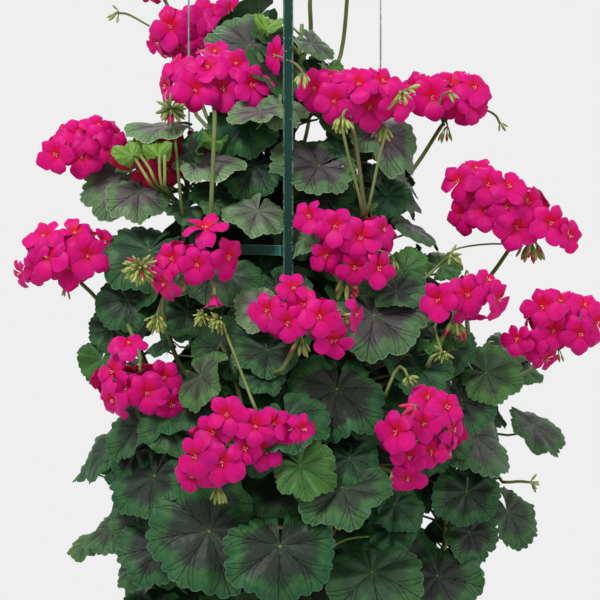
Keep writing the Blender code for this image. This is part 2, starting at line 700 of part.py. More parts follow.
def skin_leaf(bm, face, leaf, stations):
    """Draw the leaf out of a face of the stem: the stalk's square rings, then the blade's flat ones.

    Returns the new vertices.
    """
    previous = list(face.verts)
    bm.faces.remove(face)
    rings = []
    for k, station in enumerate(stations):
        ahead = stations[k + 1] if k < 2 else stations[2] + leaf.run * 0.01
        behind = stations[k - 1] if k else station - (stations[1] - station)
        tangent = (ahead - behind).normalized()
        across = (leaf.across - tangent * leaf.across.dot(tangent)).normalized()
        normal = tangent.cross(across)
        rings.append(square_ring(bm, station, across, normal, PETIOLE, PETIOLE))
    rings += list(leaf.rings(bm))
    for ring in rings:
        ring = line_up(ring, previous)
        for i in range(4):
            bm.faces.new((previous[i], previous[(i + 1) % 4], ring[(i + 1) % 4], ring[i]))
        previous = ring
    bm.faces.new(previous)
    return [vert for ring in rings for vert in ring]


class Shoot:
    """A side shoot: its six-sided stem, and the leaves it grows in a patch of the foliage's outside."""

    def __init__(self, name, path, radii, patch, leaf_radius, count):
        self.name = name
        self.patch = patch
        self.leaf_radius = leaf_radius
        self.wanted = count
        self.bm = bmesh.new()
        self.faces = shoot_stem(self.bm, path, radii)
        self.bm.normal_update()
        ROOM.add(along_path(path), max(radii) + 0.0006, name)

    def leaf(self, k):
        """The k-th place to try: golden-angle steps over the patch, in layers from outside in."""
        azimuth, height, azimuth_spread, height_spread = self.patch
        turn = k * GOLDEN
        spread = math.sqrt((k % 40 + 0.5) / 40.0)
        inset = 0.002 + 0.014 * (k % 4) + 0.006 * (k // 40)
        radius = self.leaf_radius - 0.003 * min(k // 40, 4) + 0.003 * (k % 3)
        swing = math.radians(-38.0 + 76.0 * ((k * 0.618) % 1.0)) - 0.45 * spread * math.cos(turn)
        return Leaf(azimuth + azimuth_spread * spread * math.cos(turn),
                    height + height_spread * spread * math.sin(turn), inset, radius, swing)

    def grow_leaf(self, leaf):
        """Grow one leaf from the stem face that points best towards it, if there is room."""
        blade = leaf.samples()
        if not ROOM.is_clear(blade, 0.0033):
            return
        ranked = sorted(self.faces, key=lambda f: (leaf.root - f.calc_center_median()).length
                        - 0.04 * f.normal.dot((leaf.root - f.calc_center_median()).normalized()))
        for face in ranked:
            towards = (leaf.root - face.calc_center_median()).normalized()
            if face.normal.dot(towards) < 0.05:
                continue
            stations = stalk_points(face, leaf)
            if (stations[2] - stations[1]).normalized().dot(leaf.run) < 0.05:
                continue
            stalk = along_path(stations, 0.004)
            if not ROOM.is_clear(stalk[3:], PETIOLE + 0.0013):
                continue
            if not ROOM.is_clear(stalk, PETIOLE + 0.0013, skip_owner=self.name):
                continue
            apart = np.linalg.norm(stalk[:-3, None, :] - blade[None, :, :], axis=2)
            if apart.size and apart.min() < 0.0050:
                continue
            foot = list(face.verts)
            grown = skin_leaf(self.bm, face, leaf, stations)
            self.faces.remove(face)
            if crosses_itself(self.bm):
                bmesh.ops.delete(self.bm, geom=grown, context="VERTS")
                self.faces.append(self.bm.faces.new(foot))
                self.bm.normal_update()
                continue
            ROOM.add(blade, 0.0031)
            ROOM.add(stalk, PETIOLE + 0.0010)
            self.wanted -= 1
            return

    def finish(self):
        add_object(self.name, mesh_from_bmesh(self.name, self.bm), LEAF_GREEN)


def new_side_shoot(name, stem, azimuth, height, count):
    """A side shoot that springs from a main stem towards its patch of leaves."""
    azimuth = math.radians(azimuth)
    radial = Vector((math.cos(azimuth), math.sin(azimuth), 0.0))
    target = radial * canopy_reach(azimuth, height) + UP * height
    for reach in (0.50, 0.38, 0.26, 0.15):
        for share in (0.85, 0.95, 0.75, 0.65, 0.90, 0.55, 0.80, 0.45, 0.35, 0.70, 0.50, 0.60, 0.98):
            base, out = seat_on_stem(stem, share, target)
            tip = base.lerp(target, reach)
            middle = (base + tip) / 2.0 + out * 0.008
            path = smooth_path((base, base + out * 0.006, middle, tip), 5)
            path[1] = np.array(base + out * (Vector(path[1]) - base).length)
            line = along_path(path)
            if ROOM.seat_is_free(base) and ROOM.is_clear(line[3:], 0.0045) \
                    and ROOM.is_clear(line, 0.0045, skip_owner=stem):
                ROOM.seats.append(base)
                patch = (azimuth, height, math.radians(62.0), 0.115)
                return Shoot(name, path, np.linspace(0.0036, 0.0026, len(path)), patch, 0.042, count)
    raise RuntimeError("no clear way for " + name)


def trailer_path(azimuth):
    """A stem out of the soil, over the rim and down outside the pot."""
    radial = np.array((math.cos(azimuth), math.sin(azimuth), 0.0))
    up = np.array((0.0, 0.0, 1.0))
    base = radial * TRAILER_PATH[0][0] + up * (SOIL_TOP + GAP)
    first = base + up * 0.012
    knots = [first] + [radial * r + up * z for r, z in TRAILER_PATH]
    return np.vstack((base, smooth_path(knots, 9)))


def new_trailing_shoot(name, azimuth, count):
    azimuth = math.radians(azimuth)
    path = trailer_path(azimuth)
    patch = (azimuth, -0.715, math.radians(38.0), 0.105)
    shoot = Shoot(name, path, np.linspace(0.0042, 0.0028, len(path)), patch, 0.048, count)
    shoot.faces = [face for face in shoot.faces if face.calc_center_median().z > RIM_TOP
                   or face.calc_center_median().xy.length > RIM_RADIUS + 0.006]
    return shoot


def build_plant():
    """Stems first, then flower stalks, then the shoots, which grow their leaves a leaf at a time in turn."""
    reserve_holder()
    build_stems()
    shoots = [new_trailing_shoot(name, *values) for name, values in TRAILERS.items()]
    reserve_heads()
    for name, (centre, radius, wide, stem) in HEADS.items():
        build_head(name, centre, radius, wide, stem)
    shoots += [new_side_shoot(name, *values) for name, values in SHOOTS.items()]
    for k in range(LEAF_TRIES):
        for shoot in shoots:
            if shoot.wanted:
                shoot.grow_leaf(shoot.leaf(k))
    for shoot in shoots:
        shoot.finish()


build_holder()
build_pot()
build_plant()
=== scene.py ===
"""Looks of a hanging basket of magenta pot geraniums: its leaves, flowers, stems and soil, and the finishes
of its pot and hanger."""

import math

import bpy
import numpy as np
from mathutils import Matrix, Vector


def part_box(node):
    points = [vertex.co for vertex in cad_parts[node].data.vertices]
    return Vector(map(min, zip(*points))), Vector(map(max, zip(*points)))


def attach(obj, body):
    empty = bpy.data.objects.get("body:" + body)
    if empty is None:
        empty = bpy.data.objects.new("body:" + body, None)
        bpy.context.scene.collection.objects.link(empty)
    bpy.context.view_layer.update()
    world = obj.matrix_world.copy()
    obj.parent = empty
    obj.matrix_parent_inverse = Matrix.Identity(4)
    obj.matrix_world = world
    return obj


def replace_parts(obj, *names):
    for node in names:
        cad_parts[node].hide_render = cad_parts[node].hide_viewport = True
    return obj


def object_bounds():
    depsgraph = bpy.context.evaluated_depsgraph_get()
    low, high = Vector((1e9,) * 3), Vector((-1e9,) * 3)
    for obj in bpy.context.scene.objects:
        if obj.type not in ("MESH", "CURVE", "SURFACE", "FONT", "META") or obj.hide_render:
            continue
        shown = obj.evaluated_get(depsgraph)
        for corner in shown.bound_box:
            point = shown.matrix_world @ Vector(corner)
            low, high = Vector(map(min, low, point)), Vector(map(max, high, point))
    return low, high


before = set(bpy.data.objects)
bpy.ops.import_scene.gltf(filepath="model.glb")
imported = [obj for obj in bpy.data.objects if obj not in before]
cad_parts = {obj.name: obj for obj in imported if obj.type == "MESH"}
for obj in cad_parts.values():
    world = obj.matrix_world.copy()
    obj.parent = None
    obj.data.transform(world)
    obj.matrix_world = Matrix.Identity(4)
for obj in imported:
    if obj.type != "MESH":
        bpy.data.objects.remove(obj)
CAD_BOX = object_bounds()

UP = np.array((0.0, 0.0, 1.0))
GOLDEN = math.pi * (3.0 - math.sqrt(5.0))
TURN = 6.3  # about a full turn, in radians, for turns and phases taken by chance
MM = 0.001

# ---- where the eye stands ----
EYE_TARGET = np.array((0.012, 0.0, -0.490))
EYE_DISTANCE = 2.2
EYE_RISE = math.radians(2.0)
EYE_LENS = 132.0
EYE = EYE_TARGET + EYE_DISTANCE * np.array((0.0, -math.cos(EYE_RISE), math.sin(EYE_RISE)))

# ---- lines that the plant keeps to ----
# Reach of the foliage at each height: height, then reach to the left, right, front and back.
CANOPY = np.array((
    (-0.150, 0.045, 0.040, 0.040, 0.045),
    (-0.200, 0.085, 0.065, 0.075, 0.085),
    (-0.250, 0.120, 0.100, 0.105, 0.110),
    (-0.320, 0.175, 0.125, 0.122, 0.140),
    (-0.420, 0.195, 0.150, 0.128, 0.165),
    (-0.500, 0.195, 0.200, 0.185, 0.195),
    (-0.580, 0.205, 0.230, 0.220, 0.215),
    (-0.660, 0.210, 0.240, 0.232, 0.222),
    (-0.740, 0.220, 0.235, 0.232, 0.220),
    (-0.800, 0.195, 0.200, 0.205, 0.195),
    (-0.860, 0.130, 0.130, 0.135, 0.130),
))

# Main stems: where each stands in the soil, the points that it passes through from there up, and its radius
# at foot and tip. Each leaves the soil upright, through two points over its foot.
STEMS = {
    "stem_centre": ((0.008, 0.010), ((0.005, 0.012, -0.520), (0.000, 0.022, -0.430), (0.004, 0.016, -0.330),
                                     (0.014, 0.005, -0.215)), 0.0054, 0.0020),
    "stem_left": ((-0.045, 0.000), ((-0.078, 0.000, -0.550), (-0.102, -0.010, -0.450),
                                    (-0.098, -0.018, -0.350)), 0.0050, 0.0022),
    "stem_right": ((0.050, 0.000), ((0.082, -0.006, -0.550), (0.096, -0.010, -0.450),
                                    (0.092, -0.012, -0.345)), 0.0050, 0.0022),
    "stem_far_left": ((-0.078, -0.022), ((-0.125, -0.030, -0.585), (-0.158, -0.034, -0.510)), 0.0048, 0.0034),
    "stem_far_right": ((0.080, -0.022), ((0.130, -0.024, -0.595), (0.178, -0.030, -0.525)), 0.0048, 0.0034),
    "stem_front_left": ((-0.038, -0.066), ((-0.055, -0.112, -0.600), (-0.070, -0.150, -0.540)),
                        0.0046, 0.0034),
    "stem_front_right": ((0.040, -0.066), ((0.060, -0.112, -0.600), (0.078, -0.148, -0.535)),
                         0.0046, 0.0034),
    "stem_back": ((0.002, 0.068), ((0.000, 0.105, -0.570), (-0.006, 0.128, -0.470), (0.000, 0.118, -0.370)),
                  0.0052, 0.0032),
}
STEM_FOOT = (-0.645, -0.635)

# Shoots that arch over the pot's rim: azimuth of each in degrees, and the radii and heights that all pass
# through.
TRAILERS = {
    "trailing_shoot_front": 283.0,
    "trailing_shoot_front_right": 330.0,
    "trailing_shoot_front_left": 220.0,
    "trailing_shoot_back_right": 28.0,
    "trailing_shoot_back": 106.0,
    "trailing_shoot_back_left": 160.0,
}
TRAILER_PATH = ((0.108, -0.633), (0.108, -0.618), (0.130, -0.604), (0.156, -0.612),
                (0.171, -0.650), (0.176, -0.700), (0.172, -0.748))


# ---- meshes ----
class Piece:
    """Gathers surfaces into one mesh, with a flat map of each and four numbers, its tone, that its finish
    reads."""

    def __init__(self, name):
        self.name = name
        self.count = 0
        self.points, self.maps, self.tones, self.rims = [], [], [], []
        self.quads, self.fans, self.quad_coats, self.fan_coats = [], [], [], []

    def add(self, points, quads, fans=None, maps=None, tone=(0.0, 0.0, 0.0, 0.0), rims=None, coat=0):
        """quads index points in fours; fans are triangles whose first corner is a pole of the map."""
        n = len(points)
        self.points.append(points)
        self.maps.append(np.zeros((n, 2)) if maps is None else maps)
        self.tones.append(np.broadcast_to(np.asarray(tone, float), (n, 4)))
        self.rims.append(np.zeros(n, bool) if rims is None else rims)
        self.quads.append(quads + self.count)
        self.quad_coats.append(np.full(len(quads), coat))
        if fans is not None:
            self.fans.append(fans + self.count)
            self.fan_coats.append(np.full(len(fans), coat))
        self.count += n

    def stand(self, finishes):
        """Makes the mesh and its object. At a pole, the map's first coordinate is the mean of its two
        neighbours'."""
        points = np.vstack(self.points)
        maps = np.vstack(self.maps)
        tones = np.vstack(self.tones)
        rims = np.concatenate(self.rims)
        quads = np.vstack(self.quads)
        fans = np.vstack(self.fans) if self.fans else np.zeros((0, 3), int)
        mesh = bpy.data.meshes.new(self.name)
        corners = np.concatenate((quads.ravel(), fans.ravel()))
        sizes = np.concatenate((np.full(len(quads), 4), np.full(len(fans), 3)))
        starts = np.concatenate(((0,), np.cumsum(sizes)[:-1]))
        mesh.vertices.add(len(points))
        mesh.vertices.foreach_set("co", points.astype(np.float32).ravel())
        mesh.loops.add(len(corners))
        mesh.loops.foreach_set("vertex_index", corners.astype(np.int32))
        mesh.polygons.add(len(sizes))
        mesh.polygons.foreach_set("loop_start", starts.astype(np.int32))
        mesh.polygons.foreach_set("use_smooth", np.ones(len(sizes), bool))
        coats = np.concatenate([*self.quad_coats, *self.fan_coats])
        mesh.polygons.foreach_set("material_index", coats.astype(np.int32))
        mesh.update(calc_edges=True)
        flat = maps[corners]
        if len(fans):
            fan_map = maps[fans]
            fan_map[:, 0, 0] = 0.5 * (fan_map[:, 1, 0] + fan_map[:, 2, 0])
            flat[quads.size:] = fan_map.reshape(-1, 2)
        mesh.uv_layers.new(name="blade").data.foreach_set("uv", flat.astype(np.float32).ravel())
        tone = mesh.attributes.new("tone", "FLOAT_COLOR", "POINT")
        tone.data.foreach_set("color", tones.astype(np.float32).ravel())
        ends = np.zeros(len(mesh.edges) * 2, np.int32)
        mesh.edges.foreach_get("vertices", ends)
        sharp = mesh.attributes.new("sharp_edge", "BOOLEAN", "EDGE")
        sharp.data.foreach_set("value", rims[ends].reshape(-1, 2).all(axis=1))
        for finish in finishes:
            mesh.materials.append(finish)
        mesh.validate()
        piece = bpy.data.objects.new(self.name, mesh)
        bpy.context.scene.collection.objects.link(piece)
        return piece

    def build(self, finishes, slot):
        """Makes the piece as a part of the plant."""
        piece = self.stand(finishes)
        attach(piece, "root")
        return piece


def unit(v):
    """Each vector over its length."""
    v = np.asarray(v, float)
    return v / np.maximum(np.linalg.norm(v, axis=-1, keepdims=True), 1e-12)


def grid_quads(rows, columns):
    """Quads of a grid whose rows run the first way and columns the second; it is open at all four sides."""
    i, j = np.meshgrid(np.arange(rows - 1), np.arange(columns - 1), indexing="ij")
    k = (i * columns + j).ravel()
    return np.stack((k, k + 1, k + columns + 1, k + columns), axis=1)


def ring_quads(rows, sides):
    """Quads between rings that each close on themselves."""
    i, j = np.meshgrid(np.arange(rows - 1), np.arange(sides), indexing="ij")
    a, b = (i * sides + j).ravel(), (i * sides + (j + 1) % sides).ravel()
    return np.stack((a, b, b + sides, a + sides), axis=1)


def smooth_path(points, count):
    """Points evenly spaced on a Catmull-Rom curve through the given ones: each stretch is the cubic that
    leaves and arrives in the direction of the neighbouring knots."""
    k = np.asarray(points, float)
    k = np.vstack((2 * k[0] - k[1], k, 2 * k[-1] - k[-2]))
    t = np.linspace(0.0, 1.0, 12, endpoint=False)[None, :, None]
    a, b, c, d = (k[i:len(k) - 3 + i, None, :] for i in range(4))
    square, cube = 2 * a - 5 * b + 4 * c - d, 3 * b - a - 3 * c + d
    fine = 0.5 * (2 * b + (c - a) * t + square * t ** 2 + cube * t ** 3)
    fine = np.vstack((fine.reshape(-1, 3), k[-2]))
    length = np.r_[0.0, np.cumsum(np.linalg.norm(np.diff(fine, axis=0), axis=1))]
    marks = np.linspace(0.0, length[-1], count)
    return np.stack([np.interp(marks, length, fine[:, i]) for i in range(3)], axis=1)


def bend(start, leave, arrive, end, count):
    """Points of the cubic curve between two ends, pulled towards two handles."""
    t = np.linspace(0.0, 1.0, count)[:, None]
    back = 1 - t
    return back ** 3 * start + 3 * back ** 2 * t * leave + 3 * back * t ** 2 * arrive + t ** 3 * end


def tube(piece, path, radii, sides, tone, coat=0):
    """A rod: at every station of the path a circle square to it, its frame held by the normal of the plane
    that the path lies in most nearly; the ends close to a point. The map runs round the rod and along it."""
    path = np.asarray(path, float)
    n = len(path)
    radii = np.broadcast_to(np.asarray(radii, float), (n,))
    ahead = unit(np.gradient(path, axis=0))
    plane = np.linalg.svd(path - path.mean(axis=0))[2][2]
    side = unit(np.cross(ahead, plane))
    lift = np.cross(ahead, side)
    angle = np.arange(sides) * (2.0 * math.pi / sides)
    rings = (path[:, None] + radii[:, None, None] * (np.cos(angle)[None, :, None] * side[:, None]
                                                      + np.sin(angle)[None, :, None] * lift[:, None]))
    foot_point = path[0] - ahead[0] * radii[0] * 0.3
    head_point = path[-1] + ahead[-1] * radii[-1] * 0.5
    points = np.vstack((rings.reshape(-1, 3), foot_point, head_point))
    quads = ring_quads(n, sides)
    ring = np.arange(sides)
    foot = np.stack((np.full(sides, n * sides), (ring + 1) % sides, ring), axis=1)
    top = (n - 1) * sides
    head = np.stack((np.full(sides, n * sides + 1), top + ring, top + (ring + 1) % sides), axis=1)
    along = np.linspace(0.0, 1.0, n)
    maps = np.stack(np.broadcast_arrays((angle / (2 * math.pi))[None, :], along[:, None]), axis=2)
    maps = np.vstack((maps.reshape(-1, 2), ((0.5, 0.0), (0.5, 1.0))))
    piece.add(points, quads, np.vstack((foot, head)), maps, tone, coat=coat)


# ---- leaves ----
LOBES = 7
CRENELS = 4
LEAF_THICKNESS = 0.0007
# Spokes and rings of a leaf's grid: for the leaves at the front, and the mass's fuller and plainer ones.
FRONT_GRID, FULL_GRID, PLAIN_GRID = (84, 7), (42, 4), (21, 2)


def leaf_outline(radius, spokes, youth, rng):
    """Angle of each spoke about the stalk's junction, its turn counted in lobes, and its reach: the radius
    times a base that shrinks towards the notch, most on the youngest leaves, which open as fans, a lobe
    factor that follows the absolute sine of half the lobe's turn, and a scallop factor that does the same
    four times a lobe, both of uneven depth."""
    notch = rng.uniform(0.06, 0.20)
    angle = np.linspace(-math.pi + notch, math.pi - notch, spokes + 1)
    turn = np.linspace(0.0, LOBES, spokes + 1)
    lobe = np.abs(np.sin(math.pi * turn)) ** 0.8
    scallop = np.abs(np.sin(math.pi * turn * CRENELS)) ** 0.6
    lobe_depth = np.interp(turn, np.arange(LOBES + 1), rng.uniform(0.05, 0.150, LOBES + 1))
    scallops = LOBES * CRENELS + 1
    scallop_depth = np.interp(turn, np.linspace(0, LOBES, scallops), rng.uniform(0.020, 0.078, scallops))
    uneven = 1.0 + 0.045 * np.sin(angle * 2.0 + rng.uniform(0, TURN))
    uneven = uneven + 0.03 * np.sin(angle * 3.0 + rng.uniform(0, TURN))
    fan = max(youth - 0.9, 0.0) * 10.0
    base = 1.0 - (0.36 + 0.42 * fan) * ((1.0 - np.cos(angle)) / 2.0) ** (2.1 - 1.1 * fan)
    lobes, scallops = 1.0 - lobe_depth * (1.0 - lobe), 1.0 - scallop_depth * (1.0 - scallop)
    return angle, turn, radius * uneven * base * lobes * scallops


def leaf_relief(angle, turn, rho, rng):
    """Height of a leaf's relief for a radius of one: slow waves round the junction that grow with the square
    of the reach rho, pleats that dip along each lobe's main vein, and a fine frill at the rim."""
    phases = rng.uniform(0, TURN, 4)
    waves = sum(size * np.sin(count * angle + phase)
                for size, count, phase in zip((0.075, 0.060, 0.040, 0.022), (2.0, 3.0, 5.0, 9.0), phases))
    pleat = -0.095 * rho ** 2.0 * (1.35 - rho) * np.cos(2.0 * math.pi * (turn - 0.5))
    frill = 0.016 * rho ** 4 * np.sin(2.0 * math.pi * turn * 2.0 + phases[2])
    return waves * rho ** 2 + pleat + frill


def leaf(piece, junction, normal, tip, radius, grid, tone, rng, relief, fold, droop):
    """A round, seven-lobed leaf with a face and a back that share its rim. Its height is the relief, a
    shallow dish, a droop that grows with the cube of the reach, and a fold that grows with the square of the
    breadth. The map runs through the lobes one way and from junction to rim the other."""
    normal = unit(normal)
    tip = unit(tip - normal * np.dot(tip, normal))
    side = np.cross(normal, tip)
    spokes, rings = grid
    angle, turn, outline = leaf_outline(radius, spokes, tone[2], rng)
    reach = np.linspace(0.0, 1.0, rings + 1)[1:] ** 0.9
    r = reach[:, None] * outline[None, :]
    rho = np.broadcast_to(reach[:, None], r.shape)
    dish = 0.17 * rho ** 1.4 - (droop + 0.10) * rho ** 3
    height = radius * relief * leaf_relief(angle[None, :], turn[None, :], rho, rng) + radius * dish
    x, y = r * np.cos(angle), r * np.sin(angle) * rng.uniform(0.94, 1.10)
    height = height + fold * y * y / radius
    top = junction + x[..., None] * tip + y[..., None] * side + height[..., None] * normal
    columns = spokes + 1
    rim = np.zeros((rings, columns), bool)
    rim[-1], rim[:, 0], rim[:, -1] = True, True, True
    rim = rim.ravel()
    top = top.reshape(-1, 3)
    inner = np.flatnonzero(~rim)
    back = normal * LEAF_THICKNESS
    points = np.vstack((top, junction[None], top[inner] - back, (junction - back)[None]))
    n = len(top)
    lookup = np.arange(n)
    lookup[inner] = n + 1 + np.arange(len(inner))
    quads = grid_quads(rings, columns)[:, ::-1]
    quads_below = lookup[quads][:, ::-1]
    spoke = np.arange(spokes)
    fans = np.stack((np.full(spokes, n), spoke, spoke + 1), axis=1)
    fans_below = np.stack((np.full(spokes, len(points) - 1), lookup[spoke + 1], lookup[spoke]), axis=1)
    maps = np.stack(np.broadcast_arrays(turn[None, :] / LOBES, reach[:, None]), axis=2).reshape(-1, 2)
    maps = np.vstack((maps, ((0.5, 0.0),), maps[inner], ((0.5, 0.0),)))
    tones = np.tile(np.asarray(tone, float), (len(points), 1))
    tones[n + 1:, 3] = 1.0
    flags = np.concatenate((rim, np.zeros(len(points) - n, bool)))
    piece.add(points, np.vstack((quads, quads_below)), np.vstack((fans, fans_below)), maps, tones, flags)


def leaf_stalk(piece, junction, normal, rng, radius, age, sides=6, count=9):
    """A leaf's stalk leaves the junction downwards and meets the nearest stem from above, on a cubic
    curve."""
    foot = nearest_stem(junction)
    span = np.linalg.norm(foot - junction)
    leave = junction - unit(normal) * span * 0.35
    arrive = foot + (UP * 0.25 + unit(junction - foot) * 0.25) * span
    path = bend(junction - unit(normal) * 0.0004, leave, arrive, foot, count)
    radii = radius * np.linspace(0.85, 1.15, count)
    tube(piece, path, radii, sides, (age, rng.random(), 0.0, 0.0), coat=1)


# ---- flowers ----
PETAL_ANGLES = np.radians((57.0, 123.0, 196.0, 270.0, 344.0))
PETAL_ACROSS, PETAL_ALONG = 4, 5
PETAL_THICKNESS = 0.00035


def petal_sheet():
    """A petal's flat form for a length of one: half its width grows with the sine of the reach from a narrow
    claw and rounds off over the last third; the far row is pulled back at its corners. Returns x, y, and the
    two map coordinates as grids."""
    rows = np.linspace(0.0, 1.0, PETAL_ALONG + 1) ** 0.9
    s, t = np.meshgrid(rows, np.linspace(-1.0, 1.0, PETAL_ACROSS + 1), indexing="ij")
    swell = 0.10 + 0.90 * np.sin(0.5 * math.pi * np.minimum(s / 0.62, 1.0)) ** 1.1
    close = np.sqrt(1.0 - 0.62 * np.clip((s - 0.52) / 0.48, 0.0, 1.0) ** 3.2)
    y = t * swell * close
    x = s * (1.0 - 0.14 * t ** 2 * s)
    return x, y, s, t


def flower_frame(face):
    """The unit direction that a flower faces, and the ones to its right and above it."""
    face = unit(face)
    right = unit(np.cross(face, UP) if abs(face[2]) < 0.95 else np.cross(face, (0.0, 1.0, 0.0)))
    return face, right, np.cross(right, face)


def flower(piece, centre, face, roll, size, rng, painted_shade, open_up):
    """One five-petalled flower. Each petal's height rises from the throat with the sine of its reach, then
    turns back with the reach's third power, and curls across with the square of the breadth. The two upper
    petals are narrower and carry the redder flame."""
    face, right, above = flower_frame(face)
    x, y, s, t = petal_sheet()
    for k, angle in enumerate(PETAL_ANGLES + roll + rng.normal(0.0, 0.06, 5)):
        upper = k < 2
        length = size * (rng.uniform(0.88, 1.0) if upper else rng.uniform(0.94, 1.08))
        width = length * (rng.uniform(0.37, 0.43) if upper else rng.uniform(0.42, 0.50))
        out = math.cos(angle) * right + math.sin(angle) * above
        side = np.cross(face, out)
        lift = 0.24 + open_up + rng.uniform(-0.10, 0.20)
        turn_back = rng.uniform(0.05, 0.50)
        ruffle = rng.uniform(0.04, 0.09) * np.sin(3.4 * t + rng.uniform(0, TURN)) * s ** 2
        h = length * (lift * np.sin(0.5 * math.pi * s) - turn_back * s ** 3 + ruffle + 0.012 * k)
        h = h - width * rng.uniform(0.05, 0.34) * t ** 2 * s + rng.uniform(-0.34, 0.34) * y * width
        px, py = 0.0012 + length * x, width * y
        top = centre + px[..., None] * out + py[..., None] * side + h[..., None] * face
        rim = np.zeros(s.shape, bool)
        rim[0], rim[-1], rim[:, 0], rim[:, -1] = True, True, True, True
        flat = top.reshape(-1, 3)
        inner = np.flatnonzero(~rim.ravel())
        points = np.vstack((flat, flat[inner] - face * PETAL_THICKNESS))
        lookup = np.arange(len(flat))
        lookup[inner] = len(flat) + np.arange(len(inner))
        quads = grid_quads(PETAL_ALONG + 1, PETAL_ACROSS + 1)[:, ::-1]
        maps = np.stack((0.5 + 0.5 * t.ravel(), s.ravel()), axis=1)
        tones = np.tile(np.array((1.0 if upper else 0.0, rng.random(), painted_shade, 0.0)), (len(points), 1))
        tones[len(flat):, 3] = 1.0
        flags = np.concatenate((rim.ravel(), np.zeros(len(inner), bool)))
        both = np.vstack((quads, lookup[quads][:, ::-1]))
        piece.add(points, both, None, np.vstack((maps, maps[inner])), tones, flags)


def stamens(piece, centre, face, rng):
    """A tuft of four short, pale filaments, a quarter turn apart, that lean out from the throat."""
    face, right, above = flower_frame(face)
    for angle in rng.uniform(0, TURN) + np.arange(4) * 1.57 + rng.normal(0.0, 0.3, 4):
        lean = (math.cos(angle) * right + math.sin(angle) * above) * rng.uniform(0.25, 0.75)
        reach = unit(face + lean) * rng.uniform(0.0028, 0.0046)
        path = centre + face * 0.0006 + np.linspace(0.0, 1.0, 3)[:, None] * reach
        tube(piece, path, (0.00025, 0.00022, 0.00038), 4, (0.0, rng.random(), 0.0, 0.0), coat=2)


def stalk_in_space(start, end, sag, count):
    """A thin stalk between two points, bowed sideways by the given vector at its middle."""
    t = np.linspace(0.0, 1.0, count)[:, None]
    return start * (1 - t) + end * t + np.asarray(sag) * (4.0 * t * (1 - t))


def bud(piece, base, way, length, colour, rng, dark=0.0):
    """A flower bud: a profile, narrow at the stalk and fullest near its middle, carried along a short way.
    Colour runs from green to petal."""
    way = unit(way)
    s = np.array((0.0, 0.18, 0.42, 0.68, 0.88, 1.0))
    profile = np.array((0.06, 0.12, 0.16, 0.145, 0.09, 0.012)) * length * rng.uniform(0.85, 1.1)
    path = base + s[:, None] * way * length
    tube(piece, path, profile, 6, (colour, rng.random(), dark, 0.0), coat=3)


def bud_cluster(petals, top, count, rng, length, drop, ripe):
    """Buds that hang in a bunch on thin stalks from one point: each steps by the golden angle, further out
    with the square root of its number."""
    for k in range(count):
        angle = k * GOLDEN + rng.uniform(-0.3, 0.3)
        out = np.array((math.cos(angle), math.sin(angle), 0.0)) * 0.7 * math.sqrt((k + 0.5) / count)
        way = unit(out + np.array((0.0, 0.0, rng.uniform(-1.0, -0.35))))
        end = top + way * drop * rng.uniform(0.6, 1.05)
        stalk = stalk_in_space(top, end, UP * drop * 0.18, 4)
        tube(petals, stalk, 0.0006, 5, (0.3, rng.random(), 0.0, 0.0), coat=1)
        colour = 1.0 if rng.random() < ripe * 0.3 else rng.uniform(0.0, 0.75)
        bud(petals, end, way + np.array((0.0, 0.0, -0.6)), length * rng.uniform(0.75, 1.15), colour, rng)


# ---- finishes ----
def paint(red, green, blue):
    """A colour given in the usual 0 to 255 steps, as the shader wants it."""
    c = np.array((red, green, blue)) / 255.0
    c = np.where(c <= 0.04045, c / 12.92, ((c + 0.055) / 1.055) ** 2.4)
    return (*c.tolist(), 1.0)


